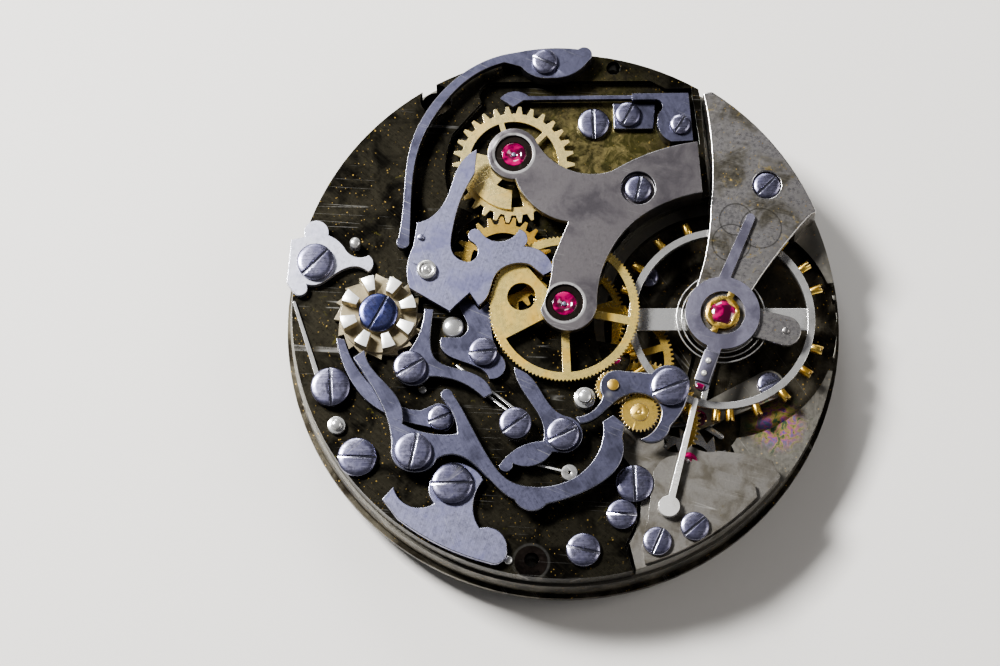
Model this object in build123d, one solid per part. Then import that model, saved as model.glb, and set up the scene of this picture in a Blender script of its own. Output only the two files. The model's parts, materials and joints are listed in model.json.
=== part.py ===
from build123d import *
import math
import os

# A hand-wound column-wheel chronograph movement, 14 lignes, bridge side up.
# Millimetres.  The origin is the centre of the dial seat, +Z rises towards the bridges,
# and the winding stem enters along the X axis from -X.

# ---------------------------------------------------------------- overall sizes
PLATE_R = 15.5
FLANGE_R = 15.75
BRIDGE_R = 15.35
PLATE_TOP = 2.4
BRIDGE_TOP = 3.9
COUNTER_FLOOR = 3.3
COCK_TOP = 4.95
TOP = 6.0
SHAKE = 0.03            # play between a moving piece and the piece that carries it

# ---------------------------------------------------------------- axes, as (x, y)
CENTRE = (0.0, 0.0)
MINUTE = (-0.15, 9.2)
RELAY = (-2.45, 3.76)
BALANCE = (8.4, -2.95)
BARREL = (-3.8, -4.5)
CROWN = (-8.9, -1.95)
THIRD = (2.0, -3.3)
FOURTH = (2.25, -7.0)
ESCAPE = (4.1, -10.26)
PALLET = (5.565, -7.77)
COLUMN = (-10.1, 2.7)
COUPLER = (1.25, -5.18)
COUPLER_PIVOT = (4.25, -6.25)
HAMMER = (-6.8, 4.25)
FLYBACK = (-10.55, -5.6)
BRAKE = (-2.25, -7.0)
STARTER = (-12.6, 6.75)
RESETTER = (-8.95, -7.8)
BLOCKER = (-9.3, -0.8)
CLICK = (-3.3, -8.3)
MOTION = (-2.6, -0.46)
SETTING = (-6.56, -0.46)
SETTING_PIVOT = (-12.3, 2.0)
YOKE_PIVOT = (-9.2, -2.3)
STUD = (11.5, -4.9)
STEM_Z = 1.45

# ---------------------------------------------------------------- levels, as (low, high)
BARREL_Z = (1.05, 2.3)
CENTRE_WHEEL_Z = (2.42, 2.6)
THIRD_WHEEL_Z = (2.72, 2.87)
FOURTH_WHEEL_Z = (3.0, 3.15)
RATCHET_Z = (2.72, 2.97)
ESCAPE_Z = (1.6, 1.8)
RIM_Z = (3.45, 4.0)
SPRING_Z = (4.1, 4.35)
RELAY_Z = (3.58, 3.78)
MINUTE_Z = (3.7, 3.9)
RUNNER_Z = (4.6, 4.8)
LOW_LEVER_Z = (4.0, 4.45)
MID_LEVER_Z = (4.55, 4.85)
HIGH_LEVER_Z = (4.93, 5.28)
BRIDGE_ARM_Z = (5.4, 6.0)

# ---------------------------------------------------------------- gear sizes: teeth and module
FINE = 0.07             # module of the clutch train
COUNT = 3.28 / 15       # module of the minute-counting train
MINUTE_TEETH = 30
RELAY_TEETH = 24
RUNNER_TEETH = 120
DRIVER_TEETH = 31
COUPLER_TEETH = 28
KEYLESS = 0.12          # module of the ratchet and crown wheels
RATCHET_TEETH = 40
CROWN_TEETH = 55
BARREL_FIRST = 49.82    # direction from the barrel to the centre, where a barrel tooth points
CROWN_FIRST = 90 / CROWN_TEETH
MESH_LINE = math.degrees(math.atan2(MINUTE[1] - RELAY[1], MINUTE[0] - RELAY[0]))
RELAY_FIRST = MESH_LINE + 180 / RELAY_TEETH
MINUTE_FIRST = MESH_LINE + 180

# ---------------------------------------------------------------- radii of arbors and shanks
SHANK_R = 0.28
ARBOR_R = 0.18
PIVOT_R = 0.11
SECONDS_POST_R = 0.22   # carries the chronograph hand
SMALL_POST_R = 0.16     # carries a hand of a small dial
COLLAR_R = 0.34         # pressed on an arbor, to set its end shake
SINK_R = 0.42           # sink in the plate round such a collar


# ================================================================ solid helpers
def disc(place, radius, low, high):
    """Upright cylinder between two heights."""
    return Pos(place[0], place[1], (low + high) / 2) * Cylinder(radius, high - low)


def ring(place, outer, inner, low, high):
    """Upright tube between two heights."""
    return disc(place, outer, low, high) - disc(place, inner, low - 1, high + 1)


def polar(place, radius, degrees):
    """Point at a radius and direction from a place."""
    angle = math.radians(degrees)
    return (place[0] + radius * math.cos(angle), place[1] + radius * math.sin(angle))


def outline(start, *stretches):
    """Closed face.  Each stretch lists the points after the corner it starts from:
    one makes a straight line, two an arc through the first, and more a smooth curve."""
    edges = []
    corner = start
    for stretch in stretches:
        points = [corner, *stretch]
        if len(points) == 2:
            edges.append(Line(*points))
        elif len(points) == 3:
            edges.append(ThreePointArc(*points))
        else:
            edges.append(Spline(*points))
        corner = points[-1]
    if corner != start:
        edges.append(Line(corner, start))
    return Face(Wire(edges))


def slab(face, level):
    """A flat face given thickness between two heights."""
    low, high = level
    return extrude(Pos(0, 0, low) * face, amount=high - low, dir=(0, 0, 1))


def bar(start, end, width, level, end_width=None):
    """Straight bar with round ends, tapering when end_width is given."""
    end_width = end_width or width
    heading = math.degrees(math.atan2(end[1] - start[1], end[0] - start[0]))
    side = polar(start, width / 2, heading + 90)
    other_side = polar(start, width / 2, heading - 90)
    far_side = polar(end, end_width / 2, heading + 90)
    far_other = polar(end, end_width / 2, heading - 90)
    face = outline(side, [polar(start, width / 2, heading + 180), other_side], [far_other],
                   [polar(end, end_width / 2, heading), far_side])
    return slab(face, level)


def gear(place, teeth, module, level, first=0.0):
    """Spur gear with straight flanks; first is the direction of one tooth."""
    root = module * (teeth / 2 - 1.1)
    tip = module * (teeth / 2 + 0.9)
    pitch = 360 / teeth
    points = []
    for tooth in range(teeth):
        middle = first + tooth * pitch
        for reach, offset in ((root, -0.31), (tip, -0.12), (tip, 0.12), (root, 0.31)):
            points.append(polar(place, reach, middle + offset * pitch))
    return slab(Face(Wire.make_polygon(points)), level)


def saw_wheel(place, teeth, tip, root, level, lean=0.0, first=0.0):
    """Wheel with pointed teeth; lean moves each point along the rim, in tooth pitches."""
    pitch = 360 / teeth
    points = []
    for tooth in range(teeth):
        middle = first + tooth * pitch
        points.append(polar(place, root, middle - 0.5 * pitch))
        points.append(polar(place, tip, middle + lean * pitch))
    return slab(Face(Wire.make_polygon(points)), level)


def crossings(place, inner, outer, arms, width, level, first=0.0):
    """The windows between the arms of a wheel, to be cut out of it."""
    low, high = level
    windows = ring(place, outer, inner, low - 1, high + 1)
    for arm in range(arms):
        end = polar(place, outer + 1, first + arm * 360 / arms)
        windows -= bar(place, end, width, (low - 2, high + 2))
    return windows


def spiral_band(place, inner, outer, turns, thickness, level, first=0.0):
    """Flat spiral strip, as a hairspring or a mainspring is."""
    steps = int(turns * 10)
    near, far = [], []
    for step in range(steps + 1):
        radius = inner + (outer - inner) * step / steps
        direction = first + 360 * turns * step / steps
        near.append(polar(place, radius - thickness / 2, direction))
        far.append(polar(place, radius + thickness / 2, direction))
    far.reverse()
    return slab(outline(near[0], near[1:], [far[0]], far[1:]), level)


def heart_cam(place, low_r, high_r, valley, level):
    """Heart cam: its radius grows evenly from the valley round to the opposite side."""
    one, other = [], []
    for step in range(1, 13):
        radius = low_r + (high_r - low_r) * step / 12
        one.append(polar(place, radius, valley + 15 * step))
        other.append(polar(place, radius, valley - 15 * step))
    start = polar(place, low_r, valley)
    back = list(reversed(other[:-1])) + [start]
    return slab(outline(start, one, back), level)


def screw(place, head_r, seat, head, foot, slot=20.0, shank_r=SHANK_R):
    """Slotted screw: its head sits on seat and its shank ends at foot."""
    body = disc(place, head_r, seat, seat + head) + disc(place, shank_r, foot, seat)
    cut = Pos(place[0], place[1], seat + head) * Rot(0, 0, slot) * Box(3 * head_r, 0.2, head * 0.8)
    return body - cut


def shank_bores(table):
    """The holes that a table of fixed screws needs, for cutting."""
    return [disc(place, SHANK_R, foot, seat) for place, _, seat, _, foot, _ in table]


# ================================================================ fastener tables
# Each line is place, head radius, seat height, head height, foot height, slot direction.
BRIDGE_SCREWS = [
    ((4.95, 10.3), 0.9, 3.3, 0.42, 1.2, 75),
    ((-13.55, -4.7), 1.1, BRIDGE_TOP, 0.45, 1.2, -18),
    ((-3.05, -13.45), 0.95, BRIDGE_TOP, 0.4, 1.2, -30),
    ((0.8, -10.7), 1.05, BRIDGE_TOP, 0.5, 3.3, 75),
    ((3.25, -14.05), 0.8, 4.3, 0.35, 1.2, 25),
    ((1.0, -14.25), 0.8, 4.3, 0.35, 1.2, 50),
    ((-0.4, -12.15), 0.85, BRIDGE_TOP, 0.45, 1.2, -20),
    ((5.95, 5.2), 0.75, 5.55, 0.4, 1.2, 60),
    ((13.1, 3.55), 0.75, 4.6, 0.33, 1.2, 28),
    ((5.4, 1.2), 0.62, 1.6, 0.35, 0.9, -60),
    ((9.95, -7.1), 0.68, 2.6, 0.35, 1.2, 10),
]
SMALL_SCREWS = [
    ((3.2, 14.15), 0.72, 5.1, 0.35, 2.4, -40),
    ((6.95, 10.15), 0.72, 3.75, 0.35, 2.4, 45),
    ((9.55, 8.55), 0.58, 4.35, 0.3, 2.4, 40),
    ((-8.5, -4.0), 0.72, 4.45, 0.35, 3.0, 5),
    ((-13.85, -0.45), 1.1, 4.15, 0.5, 2.4, 75),
    ((-5.1, -1.05), 0.8, 4.5, 0.4, 3.2, -10),
    ((-4.6, -5.6), 0.9, 4.75, 0.4, 3.2, 20),
]
# Each line is place, head radius, lever level, slot direction: the lever turns on its shoulder.
PIVOT_SCREWS = [
    (FLYBACK, 1.05, HIGH_LEVER_Z, 60),
    (BRAKE, 0.92, MID_LEVER_Z, 10),
    (STARTER, 1.05, LOW_LEVER_Z, 30),
    (RESETTER, 1.15, LOW_LEVER_Z, -15),
    (BLOCKER, 0.92, MID_LEVER_Z, 15),
    (COUPLER_PIVOT, 1.08, HIGH_LEVER_Z, 5),
    (HAMMER, 0.55, HIGH_LEVER_Z, 45),
]
# Each line is place, bottom, top, radius, hole radius.
JEWELS = [
    (MINUTE, 5.5, 5.85, 0.68, 0.14),
    (CENTRE, 5.5, 5.85, 0.68, 0.14),
    (FOURTH, 4.15, 4.4, 0.5, 0.15),
    (ESCAPE, 3.55, 3.9, 0.5, 0.14),
    (THIRD, 3.2, 3.4, 0.3, 0.14),
    (PALLET, 2.3, 2.6, 0.45, 0.14),
    (THIRD, 0.9, 1.2, 0.5, 0.14),
    (ESCAPE, 0.9, 1.2, 0.5, 0.14),
    (PALLET, 0.9, 1.2, 0.45, 0.14),
    (MINUTE, 0.5, 0.9, 0.5, 0.22),
    (FOURTH, 0.5, 0.9, 0.5, 0.22),
]
# Each line is place, bottom, top, radius, top radius: plain posts and eccentrics of the chronograph.
POSTS = [
    ((-10.15, 7.15), BRIDGE_TOP, 4.9, 0.3, 0.3),
    ((-14.15, -2.6), BRIDGE_TOP, 4.6, 0.5, 0.3),
    ((-6.25, 0.95), BRIDGE_TOP, 4.45, 0.6, 0.6),
    ((-0.4, -5.2), BRIDGE_TOP, 5.0, 0.6, 0.4),
    ((-7.2, -12.75), BRIDGE_TOP, 4.1, 0.25, 0.25),
]
DIAL_FEET = [(7.0, 13.05), (-5.95, -13.1)]
DIAL_FOOT_R = 0.4
CASE_HOLE = (-3.25, 14.2)
CASE_HOLE_R = 0.9


def jewel_seats(low, high):
    """The round seats of the jewels between two heights, for cutting."""
    return [disc(place, radius, bottom, top) for place, bottom, top, radius, _ in JEWELS
            if low <= bottom and top <= high]


# ================================================================ plates and bridges
def main_plate():
    """Base plate, pocketed on both sides for the train, the winding work and the motion work."""
    plate = disc(CENTRE, PLATE_R, 0, PLATE_TOP) + disc(CENTRE, FLANGE_R, 0, 0.45)
    top = PLATE_TOP + 1
    plate -= disc(BALANCE, 6.6, 1.6, top)
    plate -= disc(BARREL, 5.5, 0.95, top)
    plate -= disc(BARREL, 0.48, 0.5, top)
    plate -= disc(CENTRE, 1.0, 0.95, top)
    plate -= disc(THIRD, 0.75, 1.2, top)
    plate -= disc(FOURTH, 0.75, 1.9, top)
    plate -= disc(ESCAPE, 2.8, 1.3, top)
    plate -= disc(PALLET, 2.4, 1.3, top)
    plate -= disc(PALLET, 0.25, 1.1, top)
    plate -= bar(PALLET, BALANCE, 2.4, (1.3, top))
    plate -= disc(BALANCE, 0.95, 1.3, top)
    plate -= disc(BALANCE, 0.4, 0.7, top)
    plate -= disc(CENTRE, 0.5, -1, top)
    for place in (MINUTE, FOURTH):
        plate -= disc(place, 0.25, -1, top)
        plate -= disc(place, SINK_R, -1, 0.5)
    plate -= Pos(-11.1, 0, 1.2) * Box(4.4, 2.3, 3.4)
    plate -= Pos(-12, 0, STEM_Z) * Rot(0, 90, 0) * Cylinder(0.5, 8.4)
    plate -= Pos(-11.1, 0.3, 0.2) * Box(5.4, 6.4, 1.3)
    plate -= disc(CENTRE, 1.15, -1, 0.85)
    plate -= disc(MOTION, 2.25, -1, 0.6)
    plate -= disc(SETTING, 2.25, -1, 0.6)
    for place in (SETTING, MOTION):
        plate -= disc(place, 0.27, -1, 0.9)
    for place in (SETTING_PIVOT, YOKE_PIVOT):
        plate -= disc(place, 0.25, -1, 1.1)
    for place in DIAL_FEET:
        plate -= disc(place, DIAL_FOOT_R, -1, top)
    plate -= disc(CASE_HOLE, CASE_HOLE_R, 1.2, top)
    for direction in (-10.3, -14.1, -26.8):
        x, y = polar(CENTRE, 15.2, direction)
        plate -= Pos(x, y, 2.1) * Rot(0, 0, direction) * Box(1.0, 0.75, 1.0)
    return plate - shank_bores(BRIDGE_SCREWS) - jewel_seats(0.4, 1.3)


def counter_recess():
    """The sunk floor under the minute counter, stepped down from the top of the train bridge."""
    face = outline((0.0, 14.3), [(5.0, 12.85)], [(8.8, 11.7)], [(9.5, 11.0)], [(10.9, 10.6)],
                   [(10.35, 7.25)], [(3.4, 7.25)], [(-0.2, 4.4)], [(-4.2, 8.0)],
                   [(-3.9, 10.3), (-2.9, 12.0)], [(-0.8, 13.3)], [(-0.75, 13.9), (0.0, 14.3)])
    recess = slab(face, (COUNTER_FLOOR, TOP))
    recess += disc(RELAY, 3.1, COUNTER_FLOOR, TOP)
    return recess


def train_bridge():
    """Large bridge over the barrel and the centre and third wheels; it carries the chronograph."""
    bridge = disc(CENTRE, BRIDGE_R, PLATE_TOP, BRIDGE_TOP)
    open_side = outline((11.9, 17), [(11.2, 9.8)], [(10.36, 6.2)], [BALANCE], [(2.6, -5.0)],
                        [(1.2, -6.0)], [(0.75, -7.2)], [(0.5, -8.85)], [(0.85, -11.05)],
                        [(0.3, -12.7)], [(-0.75, -13.9)], [(-0.75, -17)], [(25, -17)], [(25, 17)])
    bridge -= slab(open_side, (0, TOP))
    bridge -= disc(BALANCE, 7.2, 2, TOP)
    bridge += bar(THIRD, (-0.5, -2.0), 1.7, (PLATE_TOP, 3.4))
    bridge -= counter_recess()
    bridge -= disc(CENTRE, 3.65, 2, 2.68)
    bridge -= disc(THIRD, 3.5, 2, 2.95)
    bridge -= disc(THIRD, 0.25, 2, 3.5)
    bridge -= disc(FOURTH, 3.65, 2, 3.2)
    bridge -= disc(BARREL, 2.7, 2, 3.05)
    bridge -= disc(CROWN, 3.55, 2, 2.95)
    bridge -= disc(CLICK, 1.35, 2, 3.05)
    bridge -= disc(CENTRE, 0.5, 2, BRIDGE_TOP + 1)
    bridge -= disc(CENTRE, 2.1, COUNTER_FLOOR, BRIDGE_TOP + 1)
    bridge -= Pos(-11.6, 0, PLATE_TOP) * Box(3.0, 2.3, 0.25)
    bridge -= disc(BARREL, 0.5, 2, 3.4)
    bridge -= disc(MINUTE, 0.4, 2, BRIDGE_TOP)
    bridge -= disc(COLUMN, 0.45, 2, 5)
    for place in DIAL_FEET:
        bridge -= disc(place, DIAL_FOOT_R, 2, 5)
    bridge -= disc(CASE_HOLE, CASE_HOLE_R, 2, 5)
    for place, _, level, _ in PIVOT_SCREWS:
        bridge -= disc(place, SHANK_R, 3.0, 5)
    for place, radius in ((RELAY, 0.22), (CROWN, SHANK_R), (CLICK, 0.22)):
        bridge -= disc(place, radius, 2.4, 4.5)
    for place, low, _, radius, _ in POSTS:
        bridge -= disc(place, min(radius, SHANK_R), 3.2, 5)
    return bridge - shank_bores(BRIDGE_SCREWS) - shank_bores(SMALL_SCREWS) - jewel_seats(3.1, 3.5)


def fourth_bridge():
    """Frosted bridge of the fourth and escape wheels, with the raised seat of the clutch lever."""
    face = outline((-0.55, -15.33), [(-0.45, -13.8)], [(0.5, -12.6), (1.0, -11.05), (0.65, -8.9)],
                   [(0.9, -7.3), (1.5, -5.9)], [(3.1, -6.5)], [(3.3, -7.7), (3.0, -9.15)],
                   [(3.6, -9.6), (4.5, -9.45)], [(5.1, -10.0), (5.9, -10.2)],
                   [(7.4, -10.9), (8.6, -11.6)], [(8.75, -12.6)], [(4.3, -14.73), (-0.55, -15.33)])
    bridge = slab(face, (PLATE_TOP, BRIDGE_TOP))
    layer = outline((0.0, -15.2), [(0.3, -13.9), (0.9, -12.9)], [(2.0, -10.4)],
                    [(3.2, -9.8), (5.0, -10.9), (6.6, -12.0)], [(7.2, -12.7)], [(7.1, -13.4)],
                    [(3.6, -14.8), (0.0, -15.2)])
    bridge += slab(layer, (BRIDGE_TOP, 4.3))
    bridge -= disc(BRIDGE_SCREWS[3][0], 1.1, BRIDGE_TOP, 5)
    bridge -= disc(BRIDGE_SCREWS[6][0], 0.9, BRIDGE_TOP, 5)
    bridge += disc(FOURTH, 1.0, BRIDGE_TOP, 4.45)
    bridge += bar(FOURTH, COUPLER_PIVOT, 1.5, (4.1, 4.45), 1.4)
    bridge += disc(COUPLER_PIVOT, 0.7, 4.1, HIGH_LEVER_Z[0] - SHAKE)
    bridge -= disc(BALANCE, 6.25, 2, 4.1)
    bridge -= disc(FOURTH, 3.65, 2, 3.22)
    bridge -= disc(ESCAPE, 0.75, 2, 3.4)
    bridge -= disc(FOURTH, 0.2, 2, 5)
    bridge -= disc(ESCAPE, 0.2, 2, 5)
    bridge -= disc(COUPLER_PIVOT, SHANK_R, 4.1, 6)
    return bridge - shank_bores(BRIDGE_SCREWS) - jewel_seats(3.4, 4.5)


def balance_cock():
    """Cock of the balance: a foot on the plate rim and an arm out to a ring round the bearing."""
    edge = (15.3, 1.2)
    corner = polar(CENTRE, 15.33, 39.5)
    face = outline(corner, [(11.3, 9.8)], [(10.75, 6.5), (9.6, 3.1)], [(8.65, 0.9), (7.3, -1.2)],
                   [BALANCE], [(10.3, -2.2)], [(11.65, -1.1), (15.0, 1.2)], [edge],
                   [polar(CENTRE, 15.33, 22), corner])
    cock = slab(face, (PLATE_TOP, COCK_TOP))
    cock -= disc(BALANCE, 6.35, 2, 4.5)
    cock += disc(BALANCE, 2.1, 4.5, COCK_TOP)
    cock -= disc(BALANCE, 0.9, 4, 6)
    cock -= disc((13.1, 3.55), 0.8, 4.6, 6)
    cock -= bar(BALANCE, STUD, 1.9, (4, 5)) - disc(BALANCE, 2.1, 3, 6)
    return cock - shank_bores(BRIDGE_SCREWS)


def stud_carrier():
    """Arm clamped on the cock that holds the outer end of the hairspring by a pinned stud."""
    arm = bar(BALANCE, STUD, 1.5, (4.5, 4.9), 1.7) - disc(BALANCE, 2.12, 3, 6)
    arm += disc(STUD, 0.18, 4.1, 5.05)
    return arm


def chronograph_bridge():
    """Y-shaped bridge over the chronograph and minute-counting wheels, standing on one foot."""
    face = outline((1.3, 9.4), [(1.8, 8.2), (2.95, 7.1), (4.85, 6.6)], [(7.4, 7.0), (10.0, 6.85)],
                   [(9.35, 3.9)], [(7.0, 3.9), (4.5, 3.05), (2.75, 1.45), (1.75, -0.5)],
                   [(0.1, -1.7), (-1.42, 0.0)], [(-0.6, 1.1), (0.1, 2.6)], [(1.6, 4.45)],
                   [(0.3, 5.5), (-0.5, 7.72)], [(-1.63, 9.3), (-0.15, 10.68)],
                   [(0.8, 10.35), (1.3, 9.4)])
    bridge = slab(face, BRIDGE_ARM_Z)
    foot_z = (BRIDGE_TOP, BRIDGE_ARM_Z[0])
    bridge += slab(face, foot_z) & Pos(7.9, 5.4, 4.7) * Box(6, 4, 4)
    for place in (MINUTE, CENTRE):
        bridge -= disc(place, 1.05, 5.85, 7)
        bridge -= disc(place, 0.45, 5, 7)
    bridge -= disc((5.95, 5.2), 0.97, 5.55, 7)
    return bridge - shank_bores(BRIDGE_SCREWS) - jewel_seats(5.4, 6)


def pallet_bridge():
    """Low bridge over the pallet arbor, between two feet on the balance well's floor."""
    far_foot = (4.0, -5.2)
    screw_foot = BRIDGE_SCREWS[10][0]
    bridge = bar(screw_foot, PALLET, 1.7, (2.1, 2.6), 1.3)
    bridge += bar(PALLET, far_foot, 1.3, (2.1, 2.6), 1.1)
    bridge += disc(screw_foot, 0.85, 1.6, 2.1) + disc(far_foot, 0.55, 1.6, 2.1)
    bridge -= disc(PALLET, 0.2, 2, 3)
    return bridge - shank_bores(BRIDGE_SCREWS) - jewel_seats(2.2, 2.7)


# ================================================================ fixed small pieces
def fixed_screws(table):
    """The screws of one table, as separate solids in one group."""
    return Compound(children=[screw(*line) for line in table])


def pivot_screws():
    """Shoulder screws: each lever turns on the shoulder under the head."""
    pieces = []
    for place, head_r, (low, high), slot in PIVOT_SCREWS:
        seat = high + SHAKE
        piece = screw(place, head_r, seat, 0.36, 3.3, slot)
        piece += disc(place, 0.45, max(low - SHAKE, BRIDGE_TOP), seat)
        if place == COUPLER_PIVOT:
            piece -= disc(place, 1, 3, 4.1)
        pieces.append(piece)
    return Compound(children=pieces)


def lever_pillars():
    """Round pillars that raise the middle and upper levers off the train bridge."""
    pillars = []
    for place, _, (low, _), _ in PIVOT_SCREWS:
        if low > LOW_LEVER_Z[0] and place != COUPLER_PIVOT:
            pillars.append(ring(place, 0.8, SHANK_R, BRIDGE_TOP, low - SHAKE))
    return pillars


def plain_posts():
    """Plain posts, and the eccentric that sets the hammer stop."""
    pieces = []
    for place, low, high, radius, top_r in POSTS:
        middle = (low + high) / 2
        piece = disc(place, radius, low, middle) + disc(place, top_r, middle, high)
        piece += disc(place, min(radius, SHANK_R), 3.2, low)
        pieces.append(piece)
    return pieces


def studs():
    """Every plain stud of the movement, as separate solids: the wheels and levers that have
    no screw of their own turn on these."""
    crown_core = disc(CROWN, 0.7, 2.5, 2.95) + disc(CROWN, SHANK_R, 2.95, 3.8)
    relay_stud = disc(RELAY, 0.22, 2.8, 4.2)
    click_pin = disc(CLICK, 0.22, 2.5, 3.6)
    setting_pins = [disc(SETTING_PIVOT, 0.25, 0.1, 1.1), disc(YOKE_PIVOT, 0.25, 0.45, 1.1)]
    motion_studs = [disc(place, 0.27, 0.0, 0.9) for place in (SETTING, MOTION)]
    return Compound(children=[crown_core, relay_stud, click_pin, *setting_pins, *motion_studs,
                              *plain_posts(), *lever_pillars()])


def jewels():
    """Ruby hole jewels, with the balance's cap jewel."""
    pieces = [ring(place, radius, hole, low, high) for place, low, high, radius, hole in JEWELS]
    pieces.append(disc(BALANCE, 0.72, 4.95, 5.2))
    return Compound(children=pieces)


def shock_spring():
    """Gilt lyre spring that holds the balance's cap jewel down in its setting."""
    setting = ring(BALANCE, 0.88, 0.72, 4.8, 5.12)
    lyre = ring(BALANCE, 0.9, 0.62, 5.2, 5.3)
    for direction in (35, 150, 215, 320):
        lyre += disc(polar(BALANCE, 0.66, direction), 0.13, 5.2, 5.3)
    for direction in (48, 228):
        start, end = polar(BALANCE, 0.8, direction), polar(BALANCE, 1.15, direction)
        lyre += bar(start, end, 0.4, (5.2, 5.3))
    return setting + lyre + ring(BALANCE, 0.88, 0.74, 5.12, 5.2)


# ================================================================ going train
def barrel():
    """Toothed drum that holds the mainspring."""
    drum = disc(BARREL, 5.0, *BARREL_Z) + gear(BARREL, 96, 0.109, (1.05, 1.4), BARREL_FIRST)
    drum -= disc(BARREL, 4.75, 1.2, 3)
    return drum - disc(BARREL, 0.5, 0, 3)


def barrel_cover():
    """Snap-in lid of the barrel."""
    return ring(BARREL, 4.74, 0.7, 2.12, 2.28)


def mainspring():
    """Coiled power spring, hooked to the barrel wall and to the arbor."""
    return spiral_band(BARREL, 1.2, 4.65, 8, 0.14, (1.26, 2.06))


def barrel_arbor():
    """Arbor of the barrel, with the square that carries the ratchet wheel."""
    arbor = disc(BARREL, 0.45, 0.5, 3.35) + disc(BARREL, 1.1, 1.24, 2.08)
    arbor += Pos(BARREL[0], BARREL[1], 2.85) * Box(0.84, 0.84, 0.24)
    return arbor


def ratchet_wheel():
    """Wheel on the barrel arbor's square, held by the click."""
    wheel = gear(BARREL, RATCHET_TEETH, KEYLESS, RATCHET_Z)
    return wheel - Pos(BARREL[0], BARREL[1], 2.85) * Box(0.85, 0.85, 1) - disc(BARREL, 0.46, 2, 4)


def crown_wheel():
    """Wheel between the winding pinion and the ratchet wheel."""
    wheel = gear(CROWN, CROWN_TEETH, KEYLESS, (2.7, 2.92), CROWN_FIRST)
    wheel += ring(CROWN, 3.0, 0.9, 2.62, 2.75)
    return wheel - disc(CROWN, 0.75, 2, 4)


def click():
    """Pawl of the ratchet wheel, with its return spring drawn out of the same steel."""
    pawl = disc(CLICK, 0.6, *RATCHET_Z) + bar(CLICK, (-3.3, -7.12), 0.6, RATCHET_Z, 0.3)
    pawl += bar(CLICK, (-4.35, -8.6), 0.3, RATCHET_Z, 0.15)
    return pawl - disc(CLICK, 0.25, 2, 4)


def train_arbor(place, wheel, pinion, low, high):
    """Arbor with its wheel and pinion and a thin pivot at each end."""
    arbor = disc(place, ARBOR_R, low + 0.3, high - 0.3) + disc(place, PIVOT_R, low, high)
    return wheel + pinion + arbor


def collared_post(place):
    """Lower end of an arbor: a collar in its sink and the post of a small hand below it."""
    return disc(place, COLLAR_R, -0.12, 0.45) + disc(place, SMALL_POST_R, -1.12, -0.12)


def centre_wheel():
    """Centre wheel on its tube, through which the chronograph arbor passes."""
    wheel = gear(CENTRE, 80, 0.0858, CENTRE_WHEEL_Z)
    wheel -= crossings(CENTRE, 1.0, 3.0, 5, 0.45, CENTRE_WHEEL_Z)
    wheel += gear(CENTRE, 12, 0.109, (1.0, 1.5), 49.82 + 15) + disc(CENTRE, 0.43, -0.3, 3.2)
    return wheel - disc(CENTRE, 0.27, -2, 4)


def third_wheel():
    """Third wheel, driven by the centre wheel and driving the fourth pinion."""
    wheel = gear(THIRD, 75, 0.0873, THIRD_WHEEL_Z)
    wheel -= crossings(THIRD, 0.9, 2.8, 5, 0.4, THIRD_WHEEL_Z)
    return train_arbor(THIRD, wheel, gear(THIRD, 10, 0.0858, (2.3, 2.68), 3), 0.95, 3.2)


def fourth_wheel():
    """Fourth wheel: one turn a minute, its arbor running out to the seconds hand below."""
    wheel = gear(FOURTH, 70, 0.0973, FOURTH_WHEEL_Z)
    wheel -= crossings(FOURTH, 0.8, 2.9, 5, 0.4, FOURTH_WHEEL_Z)
    pinion = gear(FOURTH, 10, 0.0873, (2.68, 2.95), 4)
    arbor = disc(FOURTH, ARBOR_R, 0.45, 4.1) + disc(FOURTH, 0.12, 4.0, 4.9)
    return wheel + pinion + arbor + collared_post(FOURTH)


def driving_wheel():
    """Small wheel pressed on the fourth arbor above its bridge, which drives the clutch."""
    return gear(FOURTH, DRIVER_TEETH, FINE, RUNNER_Z) + disc(FOURTH, 0.5, 4.8, 4.88) - disc(FOURTH, 0.12, 4, 6)


def escape_wheel():
    """Fifteen-tooth escape wheel on its pinion."""
    wheel = saw_wheel(ESCAPE, 15, 2.5, 1.9, ESCAPE_Z, 0.45)
    wheel -= crossings(ESCAPE, 0.6, 1.6, 4, 0.3, ESCAPE_Z)
    return train_arbor(ESCAPE, wheel, gear(ESCAPE, 7, 0.0973, (2.9, 3.3), 8), 0.95, 3.85)


def pallet_fork():
    """Pallet lever: two stones at the escape wheel and a fork at the balance roller."""
    line = math.degrees(math.atan2(PALLET[1] - ESCAPE[1], PALLET[0] - ESCAPE[0]))
    level = ESCAPE_Z
    fork_end = polar(PALLET, 4.45, line)
    fork = disc(PALLET, 0.35, *level) + bar(PALLET, fork_end, 0.4, level, 0.22)
    for side in (-1, 1):
        horn = polar(fork_end, 0.3, line + 75 * side)
        fork += bar(fork_end, horn, 0.2, level)
        fork += bar(horn, polar(horn, 0.3, line), 0.16, level)
        fork += bar(PALLET, polar(ESCAPE, 2.75, line + 32 * side), 0.34, level, 0.3)
    return fork + disc(PALLET, 0.18, 1.2, 2.3) + disc(PALLET, 0.11, 0.95, 2.55)


# ================================================================ balance
def balance_wheel():
    """Two-armed balance."""
    rim = ring(BALANCE, 5.27, 4.87, *RIM_Z)
    arms = disc(BALANCE, 5.0, 3.6, 3.8) & bar(polar(BALANCE, 6, 163), polar(BALANCE, 6, -17), 1.3, (3, 4.5))
    return rim + arms + disc(BALANCE, 0.85, 3.6, 3.8) - disc(BALANCE, 0.3, 3, 4.5)


def balance_screws():
    """Gilt timing screws round the rim."""
    screws = []
    for quarter in (0, 180):
        for side in (-1, 1):
            for spread in (18, 33, 52, 70, 86):
                direction = quarter + side * spread - 17
                x, y = polar(BALANCE, 5.62, direction)
                screws.append(Pos(x, y, 3.72) * Rot(0, 0, direction) * Rot(0, 90, 0) * Cylinder(0.25, 0.66))
    return Compound(children=screws)


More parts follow.
